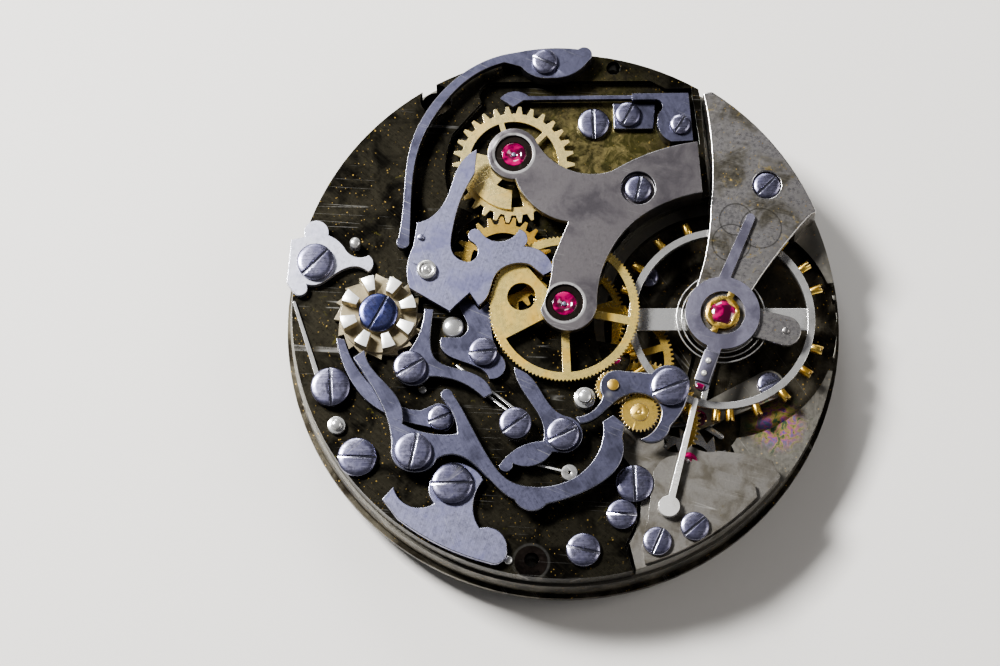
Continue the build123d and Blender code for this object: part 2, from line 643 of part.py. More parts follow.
def balance_staff():
    """Balance staff with the roller table and its impulse pin."""
    staff = disc(BALANCE, 0.3, 1.0, 4.5) + disc(BALANCE, 0.12, 0.75, 4.75)
    staff += disc(BALANCE, 0.55, 3.35, 3.6)
    staff += disc(BALANCE, 0.75, 1.9, 2.05)
    line = math.degrees(math.atan2(PALLET[1] - BALANCE[1], PALLET[0] - BALANCE[0]))
    return staff + disc(polar(BALANCE, 0.62, line), 0.1, 1.45, 1.95)


def hairspring():
    """Flat hairspring on its collet, above the balance arms."""
    collet = ring(BALANCE, 0.62, 0.31, *SPRING_Z)
    spring = spiral_band(BALANCE, 0.64, 2.7, 7, 0.07, (4.15, 4.32), -40)
    return collet + spring


def regulator_index():
    """Regulator: a ring turning on the cock, with a pointer and an arm that holds the curb pins."""
    level = (COCK_TOP + 0.01, 5.2)
    index = ring(BALANCE, 2.1, 1.25, *level)
    index += bar(polar(BALANCE, 2.0, 70), (11.6, 1.9), 0.62, level, 0.5)
    index += bar(polar(BALANCE, 2.0, -121), (6.05, -6.55), 0.8, level)
    for reach in (2.9, 3.7):
        index += disc(polar(BALANCE, reach, -121), 0.14, 5.2, 5.3)
    return index


# ================================================================ chronograph work
def wheel_teeth_disc(place, teeth, level, first=0.0):
    """Fine pointed teeth of the clutch train."""
    pitch_r = FINE * teeth / 2
    return saw_wheel(place, teeth, pitch_r + 0.055, pitch_r - 0.07, level, 0.0, first)


def chronograph_runner():
    """Sweep-seconds wheel: fine teeth, a solid sector, a heart cam and the counting finger."""
    wheel = wheel_teeth_disc(CENTRE, RUNNER_TEETH, RUNNER_Z)
    windows = ring(CENTRE, 3.72, 0.8, 4, 6)
    windows -= bar(CENTRE, polar(CENTRE, 5, -105), 0.42, (3, 7), 0.5)
    windows -= bar(CENTRE, polar(CENTRE, 5, -28), 0.42, (3, 7), 0.5)
    windows -= bar(CENTRE, polar(CENTRE, 5, 50), 0.42, (3, 7), 0.5)
    sector = outline(CENTRE, [polar(CENTRE, 6, 191)], [polar(CENTRE, 6, 152), polar(CENTRE, 6, 113)])
    wheel -= windows - slab(sector, (3, 7))
    wheel -= disc(polar(CENTRE, 2.5, 147), 0.8, 4, 6)
    heart = heart_cam(CENTRE, 0.55, 1.65, 125, (4.95, 5.25))
    arbor = disc(CENTRE, 0.24, -0.4, 5.45) + disc(CENTRE, 0.39, -1.2, -0.4)
    arbor += disc(CENTRE, SECONDS_POST_R, -1.9, -1.2)
    arbor += disc(CENTRE, 0.12, 5.4, 5.8) + disc(CENTRE, 0.5, 4.8, 4.95)
    finger = bar(CENTRE, polar(CENTRE, 1.82, 138), 0.5, (3.62, 3.92), 0.14)
    return wheel + heart + arbor + finger + disc(CENTRE, 0.45, 3.62, 4.6)


def relay_wheel():
    """Intermediate wheel that passes each turn of the runner to the minute counter."""
    wheel = gear(RELAY, RELAY_TEETH, COUNT, RELAY_Z, RELAY_FIRST)
    wheel -= crossings(RELAY, 0.75, 1.85, 4, 0.32, RELAY_Z, 40)
    return wheel + disc(RELAY, 0.5, 3.5, 4.1) - disc(RELAY, 0.25, 3, 5)


def minute_runner():
    """Thirty-tooth minute-counting wheel, its counterweight, heart cam and hand arbor."""
    wheel = gear(MINUTE, MINUTE_TEETH, COUNT, MINUTE_Z, MINUTE_FIRST)
    windows = ring(MINUTE, 2.55, 0.8, 3, 5)
    for direction in (89, 149, 209, 269, 329, 29):
        windows -= bar(MINUTE, polar(MINUTE, 4, direction), 0.3, (2, 6))
    filled = outline(MINUTE, [polar(MINUTE, 5, 149)], [polar(MINUTE, 5, 190), polar(MINUTE, 5, 209)])
    wheel -= windows - slab(filled, (2, 6))
    weight_level = (3.9, 4.15)
    wedge = outline(MINUTE, [polar(MINUTE, 5, 195)], [polar(MINUTE, 5, 222), polar(MINUTE, 5, 250)])
    wheel += ring(MINUTE, 2.75, 1.6, *weight_level) & slab(wedge, (3, 5))
    heart = heart_cam(MINUTE, 0.5, 1.6, 128, (4.95, 5.25))
    arbor = disc(MINUTE, ARBOR_R, 0.45, 5.45) + disc(MINUTE, 0.12, 5.4, 5.8)
    arbor += disc(MINUTE, 0.45, 3.6, 4.95)
    return wheel + heart + arbor + collared_post(MINUTE)


def minute_jumper():
    """Spring jumper: a block screwed to the bridge and a blade with a vee between two teeth."""
    block = outline((7.5, 11.15), [(10.6, 10.25)], [(10.0, 7.45)], [(8.8, 7.75)],
                    [(8.35, 8.5), (8.7, 9.65)], [(8.95, 9.9), (8.75, 10.4)], [(7.4, 10.8)])
    blade = outline((7.6, 11.1), [(7.5, 10.9)], [(1.5, 12.65)], [(0.8, 12.45)], [(0.25, 13.15)],
                    [(0.9, 13.35), (1.85, 12.8)])
    jumper = slab(block, (COUNTER_FLOOR, 4.35)) + slab(blade, (3.66, 4.1))
    return jumper - shank_bores(SMALL_SCREWS)


def jumper_cover():
    """Small rectangular plate screwed beside the jumper."""
    face = outline((6.35, 11.1), [(8.7, 10.35)], [(8.1, 8.95)], [(5.95, 9.6)])
    return slab(face, (COUNTER_FLOOR, 3.75)) - shank_bores(SMALL_SCREWS)


def hammer():
    """Double hammer: one arm returns the minute heart and the other the seconds heart."""
    upper = outline((-2.0, 10.25), [(-3.55, 9.3), (-4.45, 8.05), (-5.5, 7.25), (-6.5, 7.1)], [(-7.1, 5.85)],
                    [(-7.8, 4.75), (-8.0, 3.9)], [(-8.0, 3.55)], [(-6.25, 1.6)],
                    [(-5.3, 2.1), (-4.85, 2.3)], [(-4.6, 1.45)],
                    [(-3.9, 1.9), (-3.1, 2.95), (-1.9, 3.2), (-1.1, 2.85)], [(-0.6, 2.05)],
                    [(0.05, 2.2)], [(-0.1, 3.15), (-1.15, 4.0)], [(-0.8, 4.6), (-1.1, 5.05)],
                    [(-2.45, 4.7), (-3.25, 5.65)], [(-3.8, 5.75), (-3.9, 5.15)],
                    [(-3.8, 4.3), (-4.45, 4.05)], [(-5.1, 4.9), (-4.75, 6.05), (-3.75, 7.7), (-2.55, 8.95)])
    body = slab(upper, HIGH_LEVER_Z)
    body -= disc(HAMMER, 0.48, 4, 6)
    return body + disc((-6.55, 6.2), 0.16, HIGH_LEVER_Z[1], 5.5)


def hammer_spring():
    """Long curved spring round the rim whose free end presses the hammer's flank."""
    foot = outline((5.6, 13.5), [(5.95, 14.0), (5.3, 14.35)], [(3.5, 14.95), (1.9, 15.2)], [(0.9, 14.9)],
                   [(1.85, 14.3)], [(2.45, 13.5), (3.3, 13.15)], [(4.85, 13.1), (5.6, 13.5)])
    arm = outline((1.9, 15.2), [(-1.2, 14.98), (-3.75, 13.6), (-5.5, 11.7), (-6.75, 8.9), (-7.75, 6.6)],
                  [(-7.75, 5.95), (-7.25, 6.15)],
                  [(-6.35, 8.75), (-5.1, 11.4), (-3.45, 13.15), (-1.15, 14.5), (1.85, 14.7)])
    return slab(foot, (BRIDGE_TOP, 5.1)) + slab(arm, (4.5, 5.1)) - shank_bores(SMALL_SCREWS)


def hammer_stop():
    """Adjustable stop for the hammer, moved by the eccentric in its notch."""
    face = outline((-4.9, 2.2), [(-5.3, 2.3), (-5.6, 1.9)], [(-5.45, 0.95)], [(-5.75, 0.3), (-6.3, 0.25)],
                   [(-7.1, 0.5)], [(-7.25, -0.2), (-6.35, -1.2), (-5.2, -2.6)], [(-4.35, -2.5), (-4.1, -1.65)],
                   [(-4.3, -0.3), (-4.1, 0.7), (-3.9, 1.7)], [(-4.55, 1.4)])
    plate = slab(face, (BRIDGE_TOP, 4.45)) + disc((-5.1, -1.05), 0.5, 4.45, 4.5)
    return plate - disc((-6.25, 0.95), 0.62, 3, 6) - shank_bores(SMALL_SCREWS)


def column_wheel():
    """Ratchet with eight upright columns that command the levers."""
    wheel = saw_wheel(COLUMN, 16, 2.52, 2.2, (LOW_LEVER_Z[0], 4.4), 0.42)
    wheel += disc(COLUMN, 2.15, 4.4, 4.6)
    columns = ring(COLUMN, 2.15, 1.3, 4.6, 5.45)
    for gap in range(8):
        end = polar(COLUMN, 3, gap * 45 + 22.5)
        start = polar(COLUMN, 0.6, gap * 45 + 22.5)
        columns -= bar(start, end, 0.35, (4, 6), 1.25)
    wheel += columns + disc(COLUMN, 1.1, 4.6, 5.0)
    return wheel - disc(COLUMN, 0.5, 3, 6)


def column_wheel_screw():
    """Blued screw on whose shoulder the column wheel turns."""
    return screw(COLUMN, 1.1, 5.03, 0.36, 3.2, 45, 0.45)


def column_jumper():
    """Spring that holds the column wheel between two ratchet teeth."""
    face = outline((-12.75, 2.2), [(-12.3, 2.0)], [(-12.25, 0.9), (-11.7, -0.9), (-10.5, -2.6), (-9.4, -3.2)],
                   [(-8.4, -3.1)], [(-7.7, -3.9), (-8.4, -4.8)], [(-9.4, -4.2)],
                   [(-10.8, -3.3), (-12.3, -1.5), (-12.8, 0.5), (-12.75, 2.2)])
    return slab(face, LOW_LEVER_Z) - shank_bores(SMALL_SCREWS)


def start_lever():
    """Start and stop lever: its nose takes the pusher and its tip turns the ratchet."""
    face = outline((-12.75, 8.4), [(-12.0, 9.15), (-11.45, 8.1)], [(-11.0, 7.6), (-10.75, 6.95)],
                   [(-10.2, 6.35), (-9.6, 6.3)], [(-9.5, 5.75), (-9.9, 5.38)],
                   [(-10.8, 5.95), (-11.75, 5.8), (-12.75, 5.5), (-13.45, 5.7)],
                   [(-13.7, 5.2), (-14.2, 5.3)], [(-14.5, 6.1)], [(-13.55, 8.45)])
    return slab(face, LOW_LEVER_Z) - disc(STARTER, 0.48, 3, 6)


def start_spring():
    """Straight blade that returns the start lever, fixed under its own screw."""
    blade = bar((-14.4, 4.95), (-14.35, -0.3), 0.18, (3.95, 4.15), 0.3)
    blade += ring((-13.85, -0.45), 0.75, SHANK_R, BRIDGE_TOP, 4.15)
    return blade


def reset_lever():
    """Reset lever: the pusher moves it, and it drives the flyback lever."""
    face = outline((-12.95, -7.45), [(-12.1, -6.95)], [(-11.55, -8.3), (-10.25, -8.55)],
                   [(-10.05, -7.2), (-8.9, -6.55), (-7.8, -7.0), (-7.2, -8.1)],
                   [(-8.2, -9.35), (-8.2, -10.65)], [(-7.15, -11.25), (-7.1, -12.2)],
                   [(-7.5, -12.8), (-8.3, -12.7)], [(-10.6, -10.95), (-12.45, -8.8)])
    return slab(face, LOW_LEVER_Z) - disc(RESETTER, 0.48, 3, 6)


def flyback_lever():
    """Long curved lever from the column wheel to the clutch lever's tail."""
    face = outline((-12.2, 0.62), [(-11.45, 0.85)], [(-11.45, 0.1), (-10.7, -1.7), (-10.65, -3.85)],
                   [(-9.5, -4.75), (-7.9, -5.3)], [(-7.8, -4.2), (-8.15, -3.05)],
                   [(-7.85, -2.65), (-7.45, -3.05)],
                   [(-7.0, -5.15), (-6.6, -7.15), (-5.95, -8.65), (-4.4, -9.55), (-2.35, -9.6),
                    (-0.7, -8.6), (0.05, -7.0)], [(0.75, -6.8)], [(1.2, -7.5)], [(0.85, -8.2)],
                   [(0.35, -9.5), (-1.3, -10.4), (-4.3, -10.6)], [(-5.2, -10.75), (-5.95, -9.85)],
                   [(-7.15, -7.9), (-8.3, -6.45), (-9.4, -6.35)], [(-10.5, -6.8), (-11.6, -6.1), (-11.65, -5.0)],
                   [(-11.45, -4.2), (-11.6, -1.6), (-12.2, 0.62)])
    return slab(face, HIGH_LEVER_Z) - disc(FLYBACK, 0.48, 4, 6)


def blocking_lever():
    """Two-armed lever between the column wheel and the brake."""
    face = outline((-7.55, 2.3), [(-7.0, 2.1)], [(-7.7, 0.5), (-7.8, -0.6), (-6.35, -1.85), (-5.3, -3.55)],
                   [(-5.85, -3.7)], [(-6.75, -2.5), (-8.4, -1.6)], [(-9.55, -1.8), (-10.2, -0.7)],
                   [(-9.9, 0.0), (-9.2, 0.1)], [(-8.4, 0.8), (-7.55, 2.3)])
    return slab(face, MID_LEVER_Z) - disc(BLOCKER, 0.48, 4, 6)


def blocking_springs():
    """Two parallel wires that load the blocking lever, held by one screw."""
    wires = bar((-7.05, -1.35), (-4.5, -4.95), 0.12, (4.12, 4.3))
    wires += bar((-6.7, -1.3), (-4.0, -5.1), 0.12, (4.12, 4.3))
    wires += disc((-4.6, -5.6), 0.8, BRIDGE_TOP, 4.75)
    return wires - disc((-4.6, -5.6), SHANK_R, 3, 5)


def brake_lever():
    """Brake: its shoe stops the rim of the runner."""
    face = outline((-3.7, -2.42), [(-3.35, -2.75)], [(-2.95, -3.3), (-2.5, -4.9), (-1.6, -6.1)],
                   [(-1.15, -7.2), (-2.4, -8.0)], [(-3.1, -7.75)], [(-4.1, -8.2), (-5.4, -7.75)],
                   [(-5.85, -8.1), (-6.2, -7.65)], [(-5.3, -7.1), (-3.4, -7.0)],
                   [(-3.15, -6.1), (-3.65, -3.9), (-3.7, -2.42)])
    return slab(face, MID_LEVER_Z) - disc(BRAKE, 0.48, 4, 6)


def brake_spring():
    """Wire that presses the brake towards the runner."""
    wire = bar((-5.6, -7.2), (-2.6, -9.0), 0.12, (4.25, 4.4))
    return wire + ring((-2.5, -9.05), 0.45, 0.1, BRIDGE_TOP, 4.4)


def clutch_lever():
    """Clutch lever: it swings the coupling wheel into the runner."""
    face = outline((-1.3, -6.3), [(-0.3, -6.25), (0.5, -5.6)], [(0.75, -4.65), (1.7, -4.4)],
                   [(3.5, -5.15)], [(5.1, -5.3), (5.4, -6.3)], [(5.0, -7.1), (3.6, -8.35)],
                   [(2.6, -9.0), (1.75, -8.55)], [(2.75, -8.25), (3.4, -7.2), (2.9, -6.3), (1.9, -5.95)],
                   [(0.7, -6.3), (-0.3, -6.75), (-1.2, -6.75)])
    lever = slab(face, HIGH_LEVER_Z) - disc(COUPLER_PIVOT, 0.48, 4, 6)
    return lever - disc(COUPLER, 0.22, 4, 6)


def coupling_wheel():
    """Fine-toothed idler carried under the clutch lever, on a brass-headed arbor."""
    wheel = wheel_teeth_disc(COUPLER, COUPLER_TEETH, RUNNER_Z)
    return wheel + disc(COUPLER, 0.19, 4.5, 5.35) + disc(COUPLER, 0.33, 5.31, 5.4)


def clutch_spring():
    """Straight polished blade that returns the clutch lever."""
    blade = bar((5.45, -7.25), (2.35, -12.4), 0.28, (4.6, 4.85), 0.4)
    blade += disc((2.2, -12.6), 0.6, 4.3, 4.85)
    return blade


# ================================================================ winding, setting and motion work
def stem_wheel(length, outer, middle, bore):
    """Wheel that rides on the winding stem, with end-cut teeth at both faces."""
    wheel = Cylinder(outer, length) - Cylinder(bore, length + 1)
    teeth = 14
    for tooth in range(teeth):
        notch = Rot(0, 0, tooth * 360 / teeth) * Pos(outer, 0, length / 2) * Box(0.5, 0.18, 0.5)
        wheel -= notch
    return Pos(middle, 0, STEM_Z) * Rot(0, 90, 0) * wheel


def winding_pinion():
    """Pinion that turns the crown wheel."""
    return stem_wheel(1.4, 1.0, -12.1, 0.42)


def clutch_wheel():
    """Sliding pinion with a groove for the yoke and a square bore on the stem."""
    wheel = stem_wheel(1.5, 0.9, -10.5, 0.35)
    groove = Pos(-10.6, 0, STEM_Z) * Rot(0, 90, 0) * (Cylinder(1.2, 0.62) - Cylinder(0.6, 1))
    return wheel - groove


def setting_lever():
    """Detent lever that follows the stem in and out."""
    lever = bar(SETTING_PIVOT, (-13.3, 0.75), 0.9, (0.1, 0.4), 0.5)
    lever += bar(SETTING_PIVOT, (-10.2, 2.4), 0.8, (0.1, 0.4), 0.5)
    return lever - disc(SETTING_PIVOT, 0.28, -1, 2)


def yoke():
    """Yoke that slides the clutch wheel by its groove."""
    lever = bar(YOKE_PIVOT, (-10.6, -1.5), 0.7, (0.5, 0.8), 0.5)
    lever += bar((-10.6, -1.5), (-10.6, 0.0), 0.5, (0.5, 0.8), 0.36)
    return lever - disc(YOKE_PIVOT, 0.28, -1, 2)


def setting_wheel():
    """Wheel between the clutch wheel and the motion work."""
    return gear(SETTING, 36, 0.11, (0.2, 0.4), 5) - disc(SETTING, 0.3, -1, 1)


def motion_wheel():
    """Minute wheel of the motion work, with the pinion that drives the hour hand."""
    wheel = gear(MOTION, 36, 0.11, (0.2, 0.4)) + gear(MOTION, 10, 0.11, (-0.3, 0.2))
    return wheel - disc(MOTION, 0.3, -1, 1)


def cannon_pinion():
    """Cannon pinion on the centre arbor, which carries the minute hand."""
    pinion = gear(CENTRE, 12, 0.11, (0.15, 0.6), 10 + 15) + disc(CENTRE, 0.62, -1.2, 0.15)
    return pinion - disc(CENTRE, 0.45, -2, 2)


# ================================================================ writing the parts
NODES = {
    "main_plate": main_plate, "train_bridge": train_bridge, "fourth_bridge": fourth_bridge,
    "balance_cock": balance_cock, "stud_carrier": stud_carrier,
    "chronograph_bridge": chronograph_bridge, "pallet_bridge": pallet_bridge,
    "bridge_screws": lambda: fixed_screws(BRIDGE_SCREWS),
    "small_screws": lambda: fixed_screws(SMALL_SCREWS),
    "pivot_screws": pivot_screws, "fixed_studs": studs,
    "ruby_jewels": jewels, "shock_spring": shock_spring,
    "mainspring_barrel": barrel, "barrel_cover": barrel_cover, "mainspring": mainspring,
    "barrel_arbor": barrel_arbor, "ratchet_wheel": ratchet_wheel, "crown_wheel": crown_wheel,
    "click": click,
    "centre_wheel": centre_wheel, "third_wheel": third_wheel, "fourth_wheel": fourth_wheel,
    "driving_wheel": driving_wheel, "escape_wheel": escape_wheel, "pallet_fork": pallet_fork,
    "balance_wheel": balance_wheel, "balance_screws": balance_screws,
    "balance_staff": balance_staff, "hairspring": hairspring, "regulator_index": regulator_index,
    "chronograph_runner": chronograph_runner, "relay_wheel": relay_wheel,
    "minute_runner": minute_runner, "minute_jumper": minute_jumper,
    "jumper_cover": jumper_cover, "hammer": hammer, "hammer_spring": hammer_spring,
    "hammer_stop": hammer_stop, "column_wheel": column_wheel,
    "column_wheel_screw": column_wheel_screw, "column_jumper": column_jumper,
    "start_lever": start_lever, "start_spring": start_spring, "reset_lever": reset_lever,
    "flyback_lever": flyback_lever, "blocking_lever": blocking_lever,
    "blocking_springs": blocking_springs, "brake_lever": brake_lever,
    "brake_spring": brake_spring, "clutch_lever": clutch_lever,
    "coupling_wheel": coupling_wheel, "clutch_spring": clutch_spring,
    "winding_pinion": winding_pinion, "clutch_wheel": clutch_wheel,
    "setting_lever": setting_lever, "yoke": yoke, "setting_wheel": setting_wheel,
    "motion_wheel": motion_wheel, "cannon_pinion": cannon_pinion,
}

os.makedirs("parts", exist_ok=True)
for name, build in NODES.items():
    export_step(build(), f"parts/{name}.step")
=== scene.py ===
"""A hand-wound column-wheel chronograph movement, dressed around its CAD frame."""
import json
import logging
import math
from collections.abc import Callable
from dataclasses import dataclass
from enum import Enum

import bpy
import numpy as np
from mathutils import Euler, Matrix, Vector

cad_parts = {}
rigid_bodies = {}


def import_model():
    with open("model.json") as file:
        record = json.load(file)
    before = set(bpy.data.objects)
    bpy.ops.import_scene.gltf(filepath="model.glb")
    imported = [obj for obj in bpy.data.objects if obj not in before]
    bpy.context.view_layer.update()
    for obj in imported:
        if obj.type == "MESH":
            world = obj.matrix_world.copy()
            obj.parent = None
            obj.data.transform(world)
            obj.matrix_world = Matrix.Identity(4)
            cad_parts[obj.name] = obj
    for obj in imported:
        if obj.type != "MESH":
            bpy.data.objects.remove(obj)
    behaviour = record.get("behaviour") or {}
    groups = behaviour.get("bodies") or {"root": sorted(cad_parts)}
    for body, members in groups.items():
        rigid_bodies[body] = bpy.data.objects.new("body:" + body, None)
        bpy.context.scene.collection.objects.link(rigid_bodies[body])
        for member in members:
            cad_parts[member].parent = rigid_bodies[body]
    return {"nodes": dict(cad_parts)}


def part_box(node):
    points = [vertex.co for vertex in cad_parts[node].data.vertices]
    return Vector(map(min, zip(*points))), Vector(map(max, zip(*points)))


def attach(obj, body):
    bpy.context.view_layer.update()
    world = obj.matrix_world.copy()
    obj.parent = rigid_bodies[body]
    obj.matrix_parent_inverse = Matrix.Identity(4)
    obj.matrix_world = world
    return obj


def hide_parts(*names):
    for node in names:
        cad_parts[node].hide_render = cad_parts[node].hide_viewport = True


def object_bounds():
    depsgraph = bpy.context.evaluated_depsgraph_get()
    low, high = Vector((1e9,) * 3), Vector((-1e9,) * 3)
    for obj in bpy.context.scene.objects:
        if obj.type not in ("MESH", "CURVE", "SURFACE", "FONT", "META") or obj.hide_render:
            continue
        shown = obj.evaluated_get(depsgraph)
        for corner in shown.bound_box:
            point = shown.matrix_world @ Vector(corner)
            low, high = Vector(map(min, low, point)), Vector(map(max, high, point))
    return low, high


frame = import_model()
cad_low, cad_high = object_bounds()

MM = 0.001
SMOOTH_ANGLE = 40.0
UPRIGHT = 0.9
DOME_TURN = 88.0
# Slot of the chamfer material, painted lighter: partly real polish, partly a painted highlight.
EDGE_SLOT = 1
Colour = tuple[float, float, float]
Spot = tuple[float, float]
FaceTest = Callable[[Vector, Vector], bool]
log = logging.getLogger("movement")


def paint(code: str) -> Colour:
    """Turn a hexadecimal display colour into a linear one.

    Args:
        code: Six hexadecimal digits.

    Returns:
        The linear red, green and blue.
    """
    channels = [int(code[i:i + 2], 16) / 255 for i in (0, 2, 4)]
    return tuple(c / 12.92 if c <= 0.04045 else ((c + 0.055) / 1.055) ** 2.4 for c in channels)


# ---------------------------------------------------------------------- shader maths
class Value:
    """A shader socket that can be used in arithmetic, one Math node for each operation."""

    def __init__(self, graph: "Graph", socket: bpy.types.NodeSocket) -> None:
        """Keep the socket and its graph."""
        self.graph, self.socket = graph, socket

    def join(self, operation: str, *terms: "Value | float") -> "Value":
        """Join terms by a Math node.

        Args:
            operation: The node's operation.
            terms: Its operands, in order.

        Returns:
            The result as a value.
        """
        return self.graph.value("ShaderNodeMath", {"operation": operation}, dict(enumerate(terms)))

    def __add__(self, other: "Value | float") -> "Value":
        """Sum."""
        return self.join("ADD", self, other)

    __radd__ = __add__

    def __sub__(self, other: "Value | float") -> "Value":
        """Difference."""
        return self.join("SUBTRACT", self, other)

    def __rsub__(self, other: float) -> "Value":
        """Difference from a number."""
        return self.join("SUBTRACT", other, self)

    def __mul__(self, other: "Value | float") -> "Value":
        """Product."""
        return self.join("MULTIPLY", self, other)

    __rmul__ = __mul__

    def __truediv__(self, other: "Value | float") -> "Value":
        """Quotient."""
        return self.join("DIVIDE", self, other)

    def __pow__(self, other: float) -> "Value":
        """Power."""
        return self.join("POWER", self, other)

    def __abs__(self) -> "Value":
        """Size without sign."""
        return self.join("ABSOLUTE", self)

    def step(self, low: float, high: float) -> "Value":
        """Rise smoothly from 0 to 1.

        Args:
            low: Where the rise starts.
            high: Where it ends, which may be below low for a fall.

        Returns:
            The risen value.
        """
        rising = low < high
        ends = (low, high, 0.0, 1.0) if rising else (high, low, 1.0, 0.0)
        return self.graph.value("ShaderNodeMapRange", {"interpolation_type": "SMOOTHSTEP"},
                                dict(enumerate((self, *ends))))


class Graph:
    """The node tree of one material."""

    def __init__(self, name: str) -> None:
        """Start a material with an empty tree.

        Args:
            name: The material's name.
        """
        self.material = bpy.data.materials.new(name)
        self.material.use_nodes = True
        self.tree = self.material.node_tree
        self.tree.nodes.clear()
        self.place = self.value("ShaderNodeTexCoord", output="Object")

    def node(self, kind: str, settings: dict | None = None,
             sockets: dict | None = None) -> bpy.types.Node:
        """Add a node.

        Args:
            kind: Its type.
            settings: Its own properties, set first; "stops" are a colour ramp's.
            sockets: Numbers, colours or values for its inputs, by name or place.

        Returns:
            The new node.
        """
        made = self.tree.nodes.new(kind)
        for key, setting in (settings or {}).items():
            if key != "stops":
                setattr(made, key, setting)
                continue
            for extra in setting[2:]:
                made.color_ramp.elements.new(extra[0])
            for element, (where, colour) in zip(made.color_ramp.elements, sorted(setting)):
                element.position, element.color = where, (*colour, 1)
        for key, given in (sockets or {}).items():
            if isinstance(given, Value):
                self.tree.links.new(given.socket, made.inputs[key])
            elif isinstance(given, tuple) and made.inputs[key].type == "RGBA":
                made.inputs[key].default_value = (*given, 1)
            else:
                made.inputs[key].default_value = given
        return made

    def value(self, kind: str, settings: dict | None = None, sockets: dict | None = None,
              output: str | int = 0) -> Value:
        """Add a node and take one of its outputs, with the arguments of node."""
        return Value(self, self.node(kind, settings, sockets).outputs[output])

    def mix(self, share: Value | float, one: Value | Colour, other: Value | Colour,
            blend: str = "MIX") -> Value:
        """Mix two colours.

        Args:
            share: How much of the other shows.
            one: The first colour.
            other: The second colour.
            blend: How they combine.

        Returns:
            The mixed colour.
        """
        return self.value("ShaderNodeMix", {"data_type": "RGBA", "blend_type": blend},
                          {0: share, 6: one, 7: other}, 2)

    def millimetres(self, scale: Colour = (1, 1, 1), turn: float = 0.0,
                    centre: Spot = (0, 0)) -> Value:
        """Object coordinates in millimetres, moved, turned and stretched.

        Args:
            scale: Pattern steps per millimetre along each axis.
            turn: Turn about Z in degrees.
            centre: The point in X and Y that becomes the middle, in millimetres.

        Returns:
            The coordinates.
        """
        return self.value("ShaderNodeMapping", {"vector_type": "TEXTURE"},
                          {"Vector": self.place, "Location": (centre[0] * MM, centre[1] * MM, 0),
                           "Rotation": (0, 0, math.radians(turn)),
                           "Scale": tuple(MM / s for s in scale)})

    def noise(self, where: Value, scale: float, detail: float = 4, rough: float = 0.6,
              swirl: float = 0.0) -> Value:
        """Fractal noise from 0 to 1.

        Args:
            where: Coordinates.
            scale: Its frequency.
            detail: Octaves.
            rough: Weight of the finer octaves.
            swirl: Distortion.

        Returns:
            The noise.
        """
        return self.value("ShaderNodeTexNoise", None,
                          {"Vector": where, "Scale": scale, "Detail": detail, "Roughness": rough,
                           "Distortion": swirl})

    def shade(self, **sockets: Value | Colour | float) -> bpy.types.Material:
        """Close the material with its one shader and its output.

        Args:
            sockets: The shader's inputs, with _ for a space in a name.

        Returns:
            The material.
        """
        named = {key.replace("_", " "): given for key, given in sockets.items()}
        surface = self.value("ShaderNodeBsdfPrincipled", None, named)
        self.node("ShaderNodeOutputMaterial", None, {"Surface": surface})
        return self.material


# ---------------------------------------------------------------------- finishes
class Lay(Enum):
    """The direction in which a surface was worked."""

    STRAIGHT = "straight"
    ROUND = "round"
    FROSTED = "frosted"


# Painted light at countersinks: the first colour is a painted highlight on the polished turned rim,
# the second a near-black painted shade on the floor.
SINK_RIM_HIGHLIGHT: Colour = (0.42, 0.41, 0.4)
SINK_SHADE: Colour = (0.018, 0.014, 0.012)
ENGRAVED: Colour = (0.03, 0.028, 0.02)
SCRATCH: Colour = (0.8, 0.78, 0.74)
PATINA_HUES: tuple[Colour, Colour] = ((0.11, 0.10, 0.035), (0.36, 0.30, 0.13))
HEAT_HUES: tuple[tuple[float, Colour], ...] = (
    (0.38, (0.05, 0.10, 0.05)), (0.46, (0.35, 0.30, 0.08)), (0.52, (0.45, 0.12, 0.22)),
    (0.58, (0.16, 0.10, 0.42)), (0.66, (0.10, 0.26, 0.24)))


